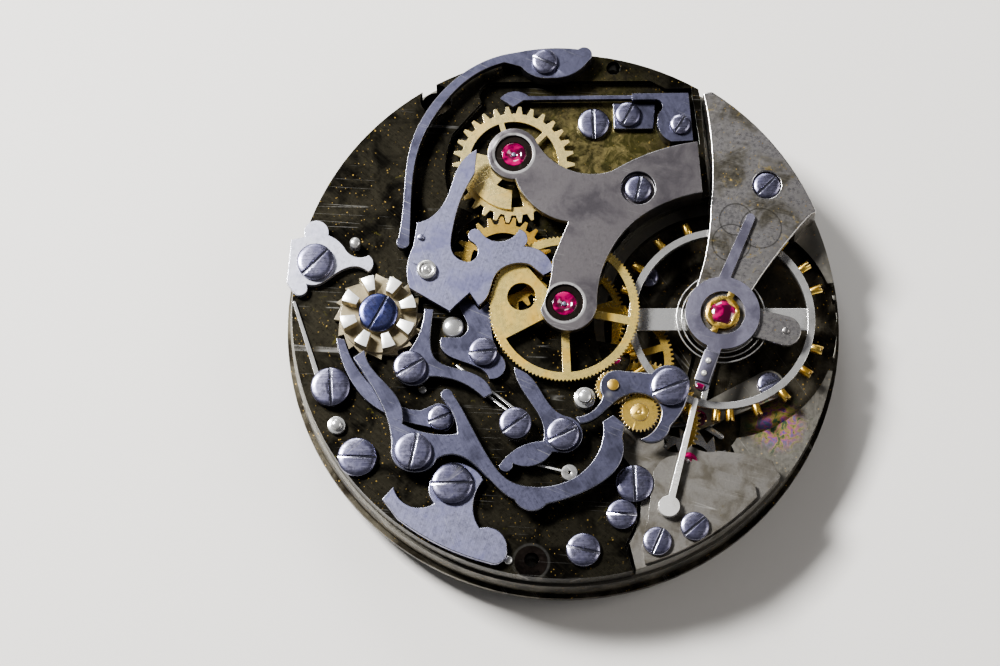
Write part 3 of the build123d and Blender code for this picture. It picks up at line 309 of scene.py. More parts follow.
@dataclass(frozen=True)
class Metal:
    """Worked metal with tarnish, stains, specks, hairlines and grain.

    Lengths are in millimetres, shares from 0 to 1.
    """

    name: str
    clean: str
    tarnish: str
    stain: str
    tarnish_share: float = 0.45
    stain_share: float = 0.25
    speck: str = "e0b860"
    speck_share: float = 0.0
    hairlines: float = 0.5
    roughness: float = 0.34
    grain: float = 0.35
    lay: Lay = Lay.STRAIGHT
    angle: float = 20.0
    centre: Spot = (0.0, 0.0)
    metallic: float = 1.0
    cloud: float = 0.45
    other_above: float | None = None
    other: str = "9a9aae"
    other_share: float = 1.0
    engraving: tuple[tuple[float, float, float], ...] = ()
    # Axes of countersinks with painted shade on their floors, the radius of that shade, and the
    # strength of the painted highlight on the rim.
    shaded_sinks: tuple[Spot, ...] = ()
    shaded_sink_radius: float = 1.06
    rim_highlight: float = 0.7
    least_roughness: float = 0.09
    heat_stain: tuple[float, float, float] | None = None
    patina: tuple[float, float, float] | None = None

    def axes(self, g: Graph, centre: Spot = (0, 0)) -> tuple[Value, Value, Value]:
        """X, Y and Z in millimetres from a centre."""
        parts = g.node("ShaderNodeSeparateXYZ", None, {0: g.millimetres(centre=centre)})
        return tuple(Value(g, parts.outputs[i]) for i in range(3))

    def reach(self, g: Graph, centre: Spot) -> Value:
        """Distance from an upright axis in millimetres."""
        x, y, _ = self.axes(g, centre)
        return (x * x + y * y) ** 0.5

    def tool_marks(self, g: Graph) -> Value:
        """Fine lines along the lay.

        Args:
            g: The material's graph.

        Returns:
            The lines' height from 0 to 1.
        """
        if self.lay is Lay.FROSTED:
            return g.noise(g.millimetres(), 14, 3, 0.7)
        if self.lay is Lay.STRAIGHT:
            return g.noise(g.millimetres((24, 0.6, 0.6), self.angle), 1, 3, 0.7)
        x, y, z = self.axes(g, self.centre)
        along = g.value("ShaderNodeCombineXYZ", None,
                        {0: self.reach(g, self.centre) * 22.0, 1: x * 0.35, 2: y * 0.35 + z})
        return g.noise(along, 1, 3, 0.7)

    def scratches(self, g: Graph) -> Value:
        """Sparse long scratches across the lay.

        Args:
            g: The material's graph.

        Returns:
            The scratches' mask from 0 to 1.
        """
        lines = g.noise(g.millimetres((1.9, 0.035, 0.2), self.angle + 38, (4.0, 1.0)), 1, 0)
        line = 1 - abs(lines - 0.5) * 95
        broken = g.noise(g.millimetres(centre=(3.1, 9.4)), 0.42, 2).step(0.5, 0.64)
        return line.join("MAXIMUM", line, 0.0) * broken

    def flecks(self, g: Graph, colour: Value) -> Value:
        """Scatter bright grains of the gilding that is left.

        Args:
            g: The material's graph.
            colour: The colour beneath.

        Returns:
            The colour with the grains.
        """
        for scale, size in ((3.1, 0.2), (6.3, 0.26)):
            cells = g.node("ShaderNodeTexVoronoi", {"feature": "F1"},
                           {"Vector": g.millimetres(), "Scale": scale, "Randomness": 1.0})
            picked = g.value("ShaderNodeSeparateColor", None, {0: Value(g, cells.outputs["Color"])})
            grain = Value(g, cells.outputs["Distance"]).step(size, size * 0.3)
            share = picked.step(1 - self.speck_share, 1.02 - self.speck_share)
            colour = g.mix(grain * share * 0.8, colour, paint(self.speck))
        return colour

    def sink(self, g: Graph, colour: Value, axis: Spot) -> Value:
        """Paint shade on the floor of a sink round an axis, and a painted highlight on its turned
        rim.

        Args:
            g: The material's graph.
            colour: The colour elsewhere.
            axis: The sink's axis.

        Returns:
            The colour everywhere.
        """
        away = self.reach(g, axis)
        # Painted highlight on the polished rim ring.
        rim = away.step(self.shaded_sink_radius, self.shaded_sink_radius + 0.02)
        rim = rim * away.step(self.shaded_sink_radius + 0.2, self.shaded_sink_radius + 0.1)
        colour = g.mix(rim * self.rim_highlight, colour, SINK_RIM_HIGHLIGHT)
        # Painted shade inside the sink.
        inside = away.step(self.shaded_sink_radius + 0.01, self.shaded_sink_radius - 0.03)
        return g.mix(inside, colour, SINK_SHADE)

    def spread(self, g: Graph, colour: Value) -> Value:
        """Lay the brown patina film over its part of the surface.

        Args:
            g: The material's graph.
            colour: The colour beneath.

        Returns:
            The colour with the film.
        """
        x, y, size = self.patina
        cloud = g.noise(g.millimetres(), 1.1, 6, 0.7, 0.8)
        film = g.mix(cloud.step(0.42, 0.58), *PATINA_HUES)
        ragged = self.reach(g, (x, y)) + (cloud - 0.5) * 9.0
        return g.mix(ragged.step(size, size * 0.3) * 0.6, colour, film)

    def heat(self, g: Graph, colour: Value) -> Value:
        """Lay the rainbow-coloured heat stain.

        Args:
            g: The material's graph.
            colour: The colour beneath.

        Returns:
            The colour with the stain.
        """
        x, y, size = self.heat_stain
        swirl = g.noise(g.millimetres(), 1.6, 5, 0.6, 1.2)
        hues = g.value("ShaderNodeValToRGB", {"stops": list(HEAT_HUES)}, {0: swirl})
        ragged = self.reach(g, (x, y)) + (swirl - 0.5) * 3.0
        return g.mix(ragged.step(size, size * 0.35) * 0.8, colour, hues)

    def places(self, g: Graph, colour: Value) -> Value:
        """Colour what differs from place to place: upper parts (on the column wheel a painted
        highlight), painted shade and highlight at countersinks, films and engraving.

        Args:
            g: The material's graph.
            colour: The colour elsewhere.

        Returns:
            The colour everywhere.
        """
        z = self.axes(g)[2]
        if self.other_above is not None:
            above = z.step(self.other_above - 0.01, self.other_above + 0.01) * self.other_share
            colour = g.mix(above, colour, paint(self.other))
        # Painted shade on each countersink floor and a painted highlight on its rim.
        for axis in self.shaded_sinks:
            colour = self.sink(g, colour, axis)
        if self.patina:
            colour = self.spread(g, colour)
        for x, y, radius in self.engraving:
            line = abs(self.reach(g, (x, y)) - radius).step(0.055, 0.02)
            colour = g.mix(line * 0.55, colour, ENGRAVED)
        if self.heat_stain:
            colour = self.heat(g, colour)
        return colour

    def material(self, edge: bool = False) -> bpy.types.Material:
        """Build the material.

        Args:
            edge: Whether it is for the polished chamfers rather than the faces, whose lighter
                colour is partly real polish and partly a painted highlight.

        Returns:
            The material.
        """
        g = Graph(self.name + ("_edge" if edge else ""))
        keep = 0.3 if edge else 1.0
        clouds = g.noise(g.millimetres(), self.cloud, 7, 0.62, 0.4)
        half = 0.64 - 0.28 * self.tarnish_share
        tarnish = clouds.step(half - 0.14, half + 0.14) * keep
        blots = g.noise(g.millimetres(centre=(5.0, -3.0)), 1.15, 8, 0.68, 1.1)
        limit = 0.72 - 0.3 * self.stain_share
        stain = blots.step(limit, limit + 0.08) * (0.8 * keep)
        mottle = g.noise(g.millimetres(centre=(-2.0, 7.0)), 5.5, 4, 0.65)
        marks = self.tool_marks(g)
        cuts = self.scratches(g)
        clean = paint(self.clean)
        # Chamfers have less tarnish for their real polish, and a lighter colour that is a painted
        # highlight.
        if edge:
            clean = tuple(0.7 * c + 0.24 for c in clean)
        colour = g.mix(tarnish, clean, paint(self.tarnish))
        colour = g.mix(stain, colour, paint(self.stain))
        colour = g.mix((mottle - 0.45) * 1.4, colour, paint(self.tarnish))
        if self.speck_share:
            colour = self.flecks(g, colour)
        colour = g.mix((marks - 0.4) * (0.9 * self.hairlines), colour, clean)
        colour = self.places(g, colour)
        colour = g.mix(cuts * (0.6 * self.hairlines), colour, SCRATCH)
        rough = self.roughness * (0.75 if edge else 1.0) + (marks - 0.5) * (0.22 * self.hairlines)
        rough = rough + tarnish * 0.1 + stain * 0.16 + (mottle - 0.5) * 0.25
        height = marks * self.grain + mottle * (0.35 * self.grain) - cuts * (0.3 * self.grain)
        bump = g.value("ShaderNodeBump", None,
                       {"Strength": 0.45, "Distance": 0.01 * MM, "Height": height})
        return g.shade(Base_Color=colour, Metallic=self.metallic,
                       Roughness=rough.join("MAXIMUM", rough, self.least_roughness), Normal=bump)


@dataclass(frozen=True)
class Ruby:
    """Synthetic ruby: deep pink body, cloudy inside, with a glassy coat and a faint painted glow.
    """

    name: str
    deep: str
    bright: str

    def material(self, edge: bool = False) -> bpy.types.Material:
        """Build the material, which is the same for edges and faces.

        Args:
            edge: Whether it is for chamfers.

        Returns:
            The material.
        """
        g = Graph(self.name + ("_edge" if edge else ""))
        cloud = g.noise(g.millimetres(), 1.6, 3, 0.5, 0.4)
        colour = g.mix(cloud.step(0.4, 0.62), paint(self.deep), paint(self.bright))
        # The small emission makes the ruby glow faintly: painted light, not a lamp.
        return g.shade(Base_Color=colour, Roughness=cloud * 0.12 + 0.06, Coat_Weight=1.0,
                       Coat_Roughness=0.03, IOR=1.76, Emission_Color=colour,
                       Emission_Strength=0.08)


Finish = Metal | Ruby


COCK_ENGRAVING = ((10.80, 2.11, 0.92), (10.14, 0.87, 1.08), (11.99, 1.20, 1.16))


class Palette:
    """Every finish of the movement, made once as a pair of face and edge materials."""

    # The countersink at (-6.02, -13.21) gets painted shade, with a faint painted highlight on its
    # rim.
    bridge = Metal("smoked_nickel", "4e4a3e", "100f0d", "48441c", 0.64, 0.34, speck="c2a25c",
                   speck_share=0.24, hairlines=0.45, roughness=0.26, angle=32,
                   shaded_sinks=((-6.02, -13.21),), shaded_sink_radius=0.92, rim_highlight=0.1,
                   patina=(4.3, 8.9, 6.0))
    plate = Metal("plate_nickel", "6a6558", "1f1b15", "4f4c22", 0.55, 0.3, speck_share=0.2,
                  hairlines=0.4, roughness=0.34, angle=-20, heat_stain=(9.7, -9.4, 1.9),
                  other_above=2.37, other="9d9a92", other_share=0.5)
    # The jewel countersinks get painted shade on their floors and a painted highlight on their
    # rims.
    grey = Metal("matte_bridge", "706c6d", "444144", "332f2c", 0.45, 0.16, hairlines=0.3,
                 roughness=0.38, grain=0.6, lay=Lay.FROSTED, shaded_sinks=((-0.15, 9.2), (0.0, 0.0)))
    cream = Metal("frosted_bridge", "817e79", "524e46", "4c4630", 0.5, 0.26, hairlines=0.4,
                  roughness=0.42, grain=0.9, lay=Lay.FROSTED, cloud=0.7)
    cock = Metal("silvered_cock", "c4c0be", "565248", "67592c", 0.5, 0.46, speck_share=0.16,
                 hairlines=0.45, roughness=0.27, angle=60, cloud=0.5,
                 engraving=COCK_ENGRAVING)
    lever = Metal("lever_steel", "74748a", "40404d", "33313b", 0.52, 0.18, hairlines=0.5,
                  roughness=0.32, angle=12, cloud=0.6)
    violet = Metal("index_steel", "7f7d8b", "4d4b56", "3a3842", 0.45, 0.14, hairlines=0.3,
                   roughness=0.42, grain=0.6, lay=Lay.FROSTED)
    pale = Metal("hammer_steel", "9c9cb4", "666680", "4c4a5a", 0.42, 0.16, hairlines=0.4,
                 roughness=0.32, angle=-35, cloud=0.6)
    # Painted highlight: the start lever gets a near-white lit copy of the lever steel.
    painted_glare_steel = Metal("start_lever_steel", "e2e2ee", "a3a3b2", "6d6b76", 0.3, 0.1, hairlines=0.4,
                   roughness=0.3, angle=-35, metallic=0.75)
    head = Metal("screw_steel", "a3a1b8", "5c5b70", "3a3845", 0.5, 0.14, hairlines=0.8,
                 roughness=0.24, angle=75, cloud=1.1)
    blue = Metal("blued_steel", "686b94", "31355a", "4b4868", 0.45, 0.1, hairlines=0.4,
                 roughness=0.22, cloud=1.2)
    bright = Metal("bright_steel", "dcdbd8", "8f8d89", "6b6760", 0.25, 0.06, hairlines=0.4,
                   roughness=0.2, angle=-17, metallic=0.75)
    blade = Metal("spring_blade", "f4f2ee", "c5c2bb", "8b857a", 0.15, 0.04, hairlines=0.3,
                  roughness=0.22, angle=-25, metallic=0.55)
    # The columns' tops above 5.4 mm are near-white: their polish is real, the white is a painted
    # highlight.
    column_polish_and_highlight = Metal("column_steel", "b3a78a", "6c624c", "4a4233", 0.4, 0.16, hairlines=0.2,
                  roughness=0.3, grain=0.2, metallic=0.6, other_above=5.4, other="fffdf8")
    brass = Metal("wheel_brass", "e3c36c", "a07c34", "8d6b2a", 0.35, 0.08, hairlines=0.25,
                  roughness=0.27, grain=0.3, lay=Lay.FROSTED, metallic=0.85)
    runner_brass = Metal("runner_brass", "f8e08e", "cfa84c", "96702c", 0.3, 0.06, hairlines=0.35,
                         roughness=0.26, grain=0.25, lay=Lay.ROUND, metallic=0.8,
                         other_above=4.9, other="8c8ca0")
    counter_brass = Metal("counter_brass", "fbe8a6", "d9b664", "96702c", 0.3, 0.06,
                          hairlines=0.35, roughness=0.26, grain=0.25, lay=Lay.ROUND,
                          centre=(-0.15, 9.2), metallic=0.8, other_above=4.9, other="8c8ca0")
    gilt = Metal("gilt", "f0cf74", "a87e30", "6b4a1c", 0.3, 0.1, hairlines=0.2, roughness=0.26,
                 grain=0.2, cloud=2.0)
    drum = Metal("barrel_brass", "d8b45c", "96722e", "7a5a22", 0.4, 0.15, hairlines=0.5,
                 roughness=0.32, lay=Lay.ROUND, centre=(-3.8, -4.5))
    ruby = Ruby("ruby", "3c0420", "a80f58")

    def __init__(self) -> None:
        """Start with no material made."""
        self.made: dict[str, list[bpy.types.Material]] = {}

    def pair(self, finish: Finish) -> list[bpy.types.Material]:
        """Give a finish's materials, the same ones each time it is asked for.

        Args:
            finish: The finish.

        Returns:
            Its face and edge materials.
        """
        if finish.name not in self.made:
            self.made[finish.name] = [finish.material(), finish.material(edge=True)]
        return self.made[finish.name]


palette = Palette()


# ---------------------------------------------------------------------- bench work
class Bench:
    """Operator steps that the modelled pieces share.  Lengths given to it are in millimetres."""

    @staticmethod
    def clear() -> None:
        """Leave edit mode and deselect everything."""
        if bpy.context.mode != "OBJECT":
            bpy.ops.object.mode_set(mode="OBJECT")
        bpy.ops.object.select_all(action="DESELECT")

    @staticmethod
    def take(*pieces: bpy.types.Object) -> None:
        """Select pieces alone, the first one active.

        Args:
            pieces: The pieces.
        """
        Bench.clear()
        for piece in pieces:
            piece.select_set(True)
        bpy.context.view_layer.objects.active = pieces[0]

    @staticmethod
    def choose(piece: bpy.types.Object, test: FaceTest) -> None:
        """Select the faces of a piece in edit mode for which a test is true.

        Args:
            piece: The piece.
            test: Takes a face's centre in millimetres and its normal, and says yes or no.
        """
        Bench.take(piece)
        for part in (*piece.data.vertices, *piece.data.edges, *piece.data.polygons):
            part.select = False
        for face in piece.data.polygons:
            face.select = bool(test(face.center / MM, face.normal))
        bpy.ops.object.mode_set(mode="EDIT")
        bpy.ops.mesh.select_mode(type="FACE")

    @staticmethod
    def choose_top(piece: bpy.types.Object) -> None:
        """Select the upward faces of a piece in edit mode."""
        Bench.choose(piece, lambda at, normal: normal.z > UPRIGHT)

    @staticmethod
    def choose_bottom(piece: bpy.types.Object) -> None:
        """Select the downward faces of a piece in edit mode."""
        Bench.choose(piece, lambda at, normal: normal.z < -UPRIGHT)

    @staticmethod
    def inset(width: float, depth: float = 0) -> None:
        """Inset the selected faces by a width and sink or raise them by a depth."""
        bpy.ops.mesh.inset(thickness=width * MM, depth=depth * MM)

    @staticmethod
    def lift(height: float) -> None:
        """Extrude the selected faces upwards, or downwards if the height is negative."""
        bpy.ops.mesh.extrude_region_move(TRANSFORM_OT_translate={"value": (0, 0, height * MM)})

    @staticmethod
    def round_bar(radius: float, low: float, high: float, place: Spot = (0, 0),
                  sides: int = 48) -> bpy.types.Object:
        """Add an upright cylinder.

        Args:
            radius: Its radius.
            low: Its lower height.
            high: Its upper height.
            place: Its axis in X and Y.
            sides: Its number of sides.

        Returns:
            The cylinder, its place in its mesh.
        """
        Bench.clear()
        bpy.ops.mesh.primitive_cylinder_add(
            vertices=sides, radius=radius * MM, depth=(high - low) * MM,
            location=(place[0] * MM, place[1] * MM, (low + high) / 2 * MM))
        piece = bpy.context.object
        bpy.ops.object.transform_apply(location=True, rotation=True, scale=True)
        return piece

    @staticmethod
    def block(size: tuple[float, float, float], place: tuple[float, float, float],
              turn: float = 0.0) -> bpy.types.Object:
        """Add a block.

        Args:
            size: Its sides.
            place: Its middle.
            turn: Its turn about Z in degrees.

        Returns:
            The block, its place in its mesh.
        """
        Bench.clear()
        bpy.ops.mesh.primitive_cube_add(size=MM, location=Vector(place) * MM,
                                        rotation=(0, 0, math.radians(turn)))
        piece = bpy.context.object
        piece.scale = size
        bpy.ops.object.transform_apply(location=True, rotation=True, scale=True)
        return piece

    @staticmethod
    def cut(piece: bpy.types.Object, cutter: bpy.types.Object,
            operation: str = "DIFFERENCE") -> None:
        """Combine a piece with a cutter by a Boolean modifier, and remove the cutter.

        Args:
            piece: The piece.
            cutter: The cutter.
            operation: How the modifier combines them.
        """
        Bench.take(piece)
        boolean = piece.modifiers.new("cut", "BOOLEAN")
        boolean.object, boolean.operation, boolean.solver = cutter, operation, "EXACT"
        bpy.ops.object.modifier_apply(modifier=boolean.name)
        bpy.data.objects.remove(cutter)

    @staticmethod
    def dome(radius: float, rise: float, steps: int = 5) -> None:
        """Raise the selected round face into a dome.

        Args:
            radius: The face's radius.
            rise: The dome's height.
            steps: Its rings.
        """
        turns = [math.radians(DOME_TURN * i / steps) for i in range(steps + 1)]
        for one, other in zip(turns, turns[1:]):
            Bench.inset(radius * (math.cos(one) - math.cos(other)))
            bpy.ops.transform.translate(
                value=(0, 0, rise * (math.sin(other) - math.sin(one)) * MM))

    @staticmethod
    def soften(piece: bpy.types.Object, width: float, segments: int, angle: float) -> None:
        """Chamfer the sharp edges of a piece and shade it smooth up to that angle.

        Args:
            piece: The piece.
            width: The chamfer's width.
            segments: Its segments.
            angle: The least angle between faces that is chamfered, in degrees.
        """
        Bench.take(piece)
        bevel = piece.modifiers.new("chamfer", "BEVEL")
        bevel.width, bevel.segments, bevel.material = width * MM, segments, EDGE_SLOT
        bevel.limit_method, bevel.angle_limit = "ANGLE", math.radians(angle)
        bpy.ops.object.modifier_apply(modifier=bevel.name)
        bpy.ops.object.shade_smooth_by_angle(angle=math.radians(SMOOTH_ANGLE))

    @staticmethod
    def complete(piece: bpy.types.Object, finish: Finish, width: float, segments: int,
                 angle: float) -> None:
        """Dress a piece and chamfer it, with the arguments of dress and soften."""
        Bench.dress(piece, finish)
        Bench.soften(piece, width, segments, angle)

    @staticmethod
    def unite(name: str, pieces: list[bpy.types.Object]) -> bpy.types.Object:
        """Join pieces into one.

        Args:
            name: The name of the joined piece.
            pieces: The pieces.

        Returns:
            The joined piece.
        """
        Bench.take(*pieces)
        if len(pieces) > 1:
            bpy.ops.object.join()
        made = bpy.context.object
        made.name = made.data.name = name
        return made

    @staticmethod
    def dress(piece: bpy.types.Object, finish: Finish) -> None:
        """Give a piece the face and edge materials of a finish.

        Args:
            piece: The piece.
            finish: The finish.
        """
        piece.data.materials.clear()
        for material in palette.pair(finish):
            piece.data.materials.append(material)


def hand_over(piece: bpy.types.Object, body: str, slot: str, *nodes: str) -> None:
    """Let a finished piece ride on a body, in the place of CAD nodes.

    Args:
        piece: The finished piece.
        body: The body that it moves with.
        slot: The record's material slot name; not used.
        nodes: The CAD nodes that it stands for.
    """
    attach(piece, body)
    if nodes:
        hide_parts(*nodes)
    log.info("%s on %s: %d faces", piece.name, body, len(piece.data.polygons))


def corners_of(node: str) -> list[np.ndarray]:
    """Split a CAD node into its separate solids.

    Args:
        node: The node's name.

    Returns:
        The corners of each solid in millimetres.
    """
    mesh = frame["nodes"][node].data
    points = np.array([v.co for v in mesh.vertices]) / MM
    keys = {}
    owner = np.array([keys.setdefault(tuple(p), len(keys)) for p in points.round(4).tolist()])
    parent = list(range(len(keys)))

    def root(item: int) -> int:
        """Find the group that an item belongs to.

        Args:
            item: The item.

        Returns:
            The group's first item.
        """
        while parent[item] != item:
            parent[item] = parent[parent[item]]
            item = parent[item]
        return item

    for edge in mesh.edges:
        one, other = (root(owner[v]) for v in edge.vertices)
        parent[one] = other
    groups = np.array([root(o) for o in owner])
    return [points[groups == g] for g in dict.fromkeys(groups.tolist())]


@dataclass
class CadFinisher:
    """Dresses CAD nodes that keep their own shape, with a fine polished chamfer on their sharp
    edges where a width is given.

    Lengths are in millimetres and angles in degrees.
    """

    weld: float = 0.0002
    flat_angle: float = 0.5
    sharp_angle: float = 32.0
    normal_weight: int = 60

    def dress(self, node: str, finish: Finish, chamfer: float = 0.05) -> None:
        """Give a CAD node its finish.

        Args:
            node: The node's name.
            finish: Its finish.
            chamfer: The chamfer's width, or 0 for none.
        """
        piece = frame["nodes"][node]
        Bench.dress(piece, finish)
        weld = piece.modifiers.new("weld", "WELD")
        weld.merge_threshold = self.weld * MM
        if chamfer:
            flat = piece.modifiers.new("flat", "DECIMATE")
            flat.decimate_type, flat.angle_limit = "DISSOLVE", math.radians(self.flat_angle)
            bevel = piece.modifiers.new("chamfer", "BEVEL")
            bevel.width, bevel.segments, bevel.material = chamfer * MM, 2, EDGE_SLOT
            bevel.limit_method, bevel.angle_limit = "ANGLE", math.radians(self.sharp_angle)
        normals = piece.modifiers.new("normals", "WEIGHTED_NORMAL")
        normals.weight, normals.keep_sharp = self.normal_weight, False
        log.info("%s: %s", node, finish.name)


# ---------------------------------------------------------------------- sub-assemblies
@dataclass
class SlottedScrews:
    """A group of slotted screws with domed, chamfered heads.  Sizes are in millimetres."""

    node: str
    finish: Finish
    slot_width: float = 0.17
    unslotted: Spot | None = None
    chamfer: float = 0.075
    dome: float = 0.04
    rings: Spot = (0.45, 0.55)
    slot_level: float = 0.05
    slot_share: float = 0.42
    break_edge: float = 0.018

    def slot_angle(self, corners: np.ndarray, top: float, radius: float) -> float:
        """Find the direction of the slot.

        Args:
            corners: The screw's corners.
            top: The height of its head.
            radius: The radius of its head.

        Returns:
            The angle in degrees.
        """
        middle = (corners.max(0) + corners.min(0))[:2] / 2
        rim = corners[(abs(corners[:, 2] - top) < 0.01)][:, :2] - middle
        rim = rim[np.hypot(*rim.T) > 0.97 * radius]
        turns = np.sort(np.degrees(np.arctan2(rim[:, 1], rim[:, 0])))
        gaps = np.diff(np.append(turns, turns[0] + 360))
        widest = int(gaps.argmax())
        return float(turns[widest] + gaps[widest] / 2)

    def head(self, radius: float, seat: float, top: float, middle: np.ndarray) -> bpy.types.Object:
        """Turn a head with a domed, chamfered top.

        Args:
            radius: Its radius.
            seat: The height of its underside.
            top: The height of its top.
            middle: Its axis.

        Returns:
            The head.
        """
        piece = Bench.round_bar(radius, seat, top, tuple(middle), 56)
        Bench.choose_top(piece)
        Bench.inset(self.chamfer)
        for share in self.rings:
            Bench.inset(share * 0.5 * radius)
        bpy.ops.object.mode_set(mode="OBJECT")
        for vertex in piece.data.vertices:
            spot = vertex.co / MM
            if spot.z > top - 0.01:
                out = math.hypot(spot.x - middle[0], spot.y - middle[1]) / radius
                drop = self.dome * out * out + (self.chamfer * 0.6 if out > 0.98 else 0)
                vertex.co.z = (top - drop) * MM
        return piece

    def screw(self, corners: np.ndarray) -> bpy.types.Object:
        """Model one screw in the place of a CAD screw.

        Args:
            corners: The CAD screw's corners.

        Returns:
            The screw.
        """
        low, high = corners.min(0), corners.max(0)
        middle = (low + high)[:2] / 2
        radius = float(high[0] - low[0]) / 2
        top = float(high[2])
        reach = np.hypot(*(corners[:, :2] - middle).T)
        seat = float(corners[reach > 0.9 * radius][:, 2].min())
        piece = self.head(radius, seat, top, middle)
        Bench.choose_bottom(piece)
        if low[2] < seat - 0.3:
            Bench.inset(radius - float(reach[corners[:, 2] < seat - 0.3].max()))
            Bench.lift(float(low[2]) - seat)
        bpy.ops.object.mode_set(mode="OBJECT")
        if self.unslotted and math.dist(middle, self.unslotted) < 0.2:
            return self.ringed(piece, tuple(middle), radius, top)
        angle = self.slot_angle(corners, top, radius)
        slot = (3 * radius, self.slot_width, self.slot_share * (top - seat))
        Bench.cut(piece, Bench.block(slot, (middle[0], middle[1], top - self.slot_level), angle))
        Bench.dress(piece, self.finish)
        # Slot floors take the lighter chamfer material: a painted reflection.
        floor = top - self.slot_level - self.slot_share / 2 * (top - seat)
        for face in piece.data.polygons:
            low_face = (seat + 0.01) * MM < face.center.z < (floor + 0.01) * MM
            face.material_index = int(face.normal.z > UPRIGHT and low_face)
        Bench.soften(piece, self.break_edge, 2, 35)
        return piece

    def ringed(self, head: bpy.types.Object, middle: Spot, radius: float,
               top: float) -> bpy.types.Object:
        """Give a head a turned groove and a polished pivot end instead of a slot.

        Args:
            head: The plain head.
            middle: Its axis.
            radius: Its radius.
            top: The height of its top.

        Returns:
            The head.
        """
        groove = Bench.round_bar(0.72 * radius, top - 0.14, top + 0.1, middle, 48)
        Bench.cut(head, groove)
        pivot = Bench.round_bar(0.42 * radius, top - 0.2, top - 0.08, middle, 40)
        Bench.choose_top(pivot)
        Bench.dome(0.42 * radius, 0.14)
        bpy.ops.object.mode_set(mode="OBJECT")
        Bench.cut(head, pivot, "UNION")
        Bench.complete(head, Palette.bright, self.break_edge, 2, 35)
        return head

    def build(self) -> None:
        """Model every screw of the group."""
        screws = [self.screw(corners) for corners in corners_of(self.node)]
        made = Bench.unite(self.node + "_turned", screws)
        hand_over(made, "frame", self.slot_name(), self.node)

    def slot_name(self) -> str:
        """Name the record's material slot of the group."""
        return "blued_steel" if self.finish is Palette.blue else "screw_steel"


@dataclass
class Rubies:
    """Ruby hole jewels with polished oil cups, and the balance's domed cap jewel."""

    node: str = "ruby_jewels"
    cup: float = 0.62
    rounding: float = 0.05
    cup_rings: tuple[float, ...] = (0.34, 0.3, 0.22)
    cup_slope: float = 0.45
    lip: float = 0.12

    def jewel(self, corners: np.ndarray) -> bpy.types.Object:
        """Model one jewel in the place of a CAD jewel.

        Args:
            corners: The CAD jewel's corners.

        Returns:
            The jewel.
        """
        low, high = corners.min(0), corners.max(0)
        middle = tuple(((low + high) / 2)[:2])
        radius = float(high[0] - low[0]) / 2
        hole = float(np.hypot(*(corners[:, :2] - middle).T).min())
        thick = float(high[2] - low[2])
        piece = Bench.round_bar(radius, low[2], high[2], middle)
        Bench.choose_top(piece)
        if hole < 0.9 * radius:
            Bench.inset((1 - self.cup) * radius)
            for step in self.cup_rings:
                Bench.inset(step * (self.cup * radius - hole), -self.cup_slope * step * thick)
            Bench.inset(self.lip * (self.cup * radius - hole))
            Bench.lift(-0.5 * thick)
        else:
            Bench.dome(radius, 0.25 * radius)
        bpy.ops.object.mode_set(mode="OBJECT")
        Bench.complete(piece, Palette.ruby, self.rounding, 3, 50)
        return piece

    def build(self) -> None:
        """Model every jewel."""
        made = Bench.unite("ruby_jewels_polished", [self.jewel(c) for c in corners_of(self.node)])
        hand_over(made, "frame", "ruby", self.node)


@dataclass
class TimingScrews:
    """Gilt screws round the balance rim, each with a slotted head and a thin stem."""

    node: str = "balance_screws"
    slot: float = 0.09
    length: float = 0.66
    recess: float = 0.1

    def build(self) -> None:
        """Model one screw, then set a copy of it at each place."""
        solids = corners_of(self.node)
        wheel_low, wheel_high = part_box("balance_wheel")
        middle = (wheel_low + wheel_high) / 2 / MM
        first = solids[0]
        radius = float(first[:, 2].max() - first[:, 2].min()) / 2
        pattern = Bench.round_bar(radius, -self.length / 2, self.length / 2, sides=20)
        Bench.choose_bottom(pattern)
        Bench.inset(0.45 * radius)
        Bench.lift(self.recess)
        bpy.ops.object.mode_set(mode="OBJECT")
        Bench.cut(pattern, Bench.block((1, self.slot, 0.24), (0, 0, self.length / 2)))
        Bench.complete(pattern, Palette.gilt, 0.03, 2, 35)
        screws = []
        for corners in solids:
            spot = Vector((corners.max(0) + corners.min(0)) / 2)
            heading = math.atan2(spot.y - middle.y, spot.x - middle.x)
            Bench.take(pattern)
            bpy.ops.object.duplicate()
            screw = bpy.context.object
            screw.rotation_euler = Euler((0, math.radians(90), heading))
            screw.location = spot * MM
            bpy.ops.object.transform_apply(location=True, rotation=True, scale=True)
            screws.append(screw)
        bpy.data.objects.remove(pattern)
        hand_over(Bench.unite("timing_screws", screws), "balance", "wheel_brass", self.node)


@dataclass
class DomedStuds:
    """Plain studs and posts with rounded, polished tops."""

    node: str = "fixed_studs"
    rise: float = 0.35

    def stud(self, corners: np.ndarray) -> bpy.types.Object:
        """Model one stud in the place of a CAD stud, with its step if it has one.

        Args:
            corners: The CAD stud's corners.

        Returns:
            The stud.
        """
        low, high = corners.min(0), corners.max(0)
        middle = tuple(((low + high) / 2)[:2])
        reach = np.hypot(*(corners[:, :2] - middle).T)
        wide = float(reach.max())
        thin = float(reach[corners[:, 2] > high[2] - 0.01].max())
        rise = self.rise * thin
        shoulder = float(corners[reach > 0.97 * wide][:, 2].max())
        stepped = thin < 0.95 * wide
        piece = Bench.round_bar(wide, low[2], shoulder if stepped else high[2] - rise, middle, 40)
        Bench.choose_top(piece)
        if stepped:
            Bench.inset(wide - thin)
            Bench.lift(float(high[2]) - rise - shoulder)
        Bench.dome(thin, rise)
        bpy.ops.object.mode_set(mode="OBJECT")
        Bench.complete(piece, Palette.bright, 0.03, 2, 50)
        return piece

    def build(self) -> None:
        """Model every stud."""
        made = Bench.unite("polished_studs", [self.stud(c) for c in corners_of(self.node)])
        hand_over(made, "frame", "bright_steel", self.node)


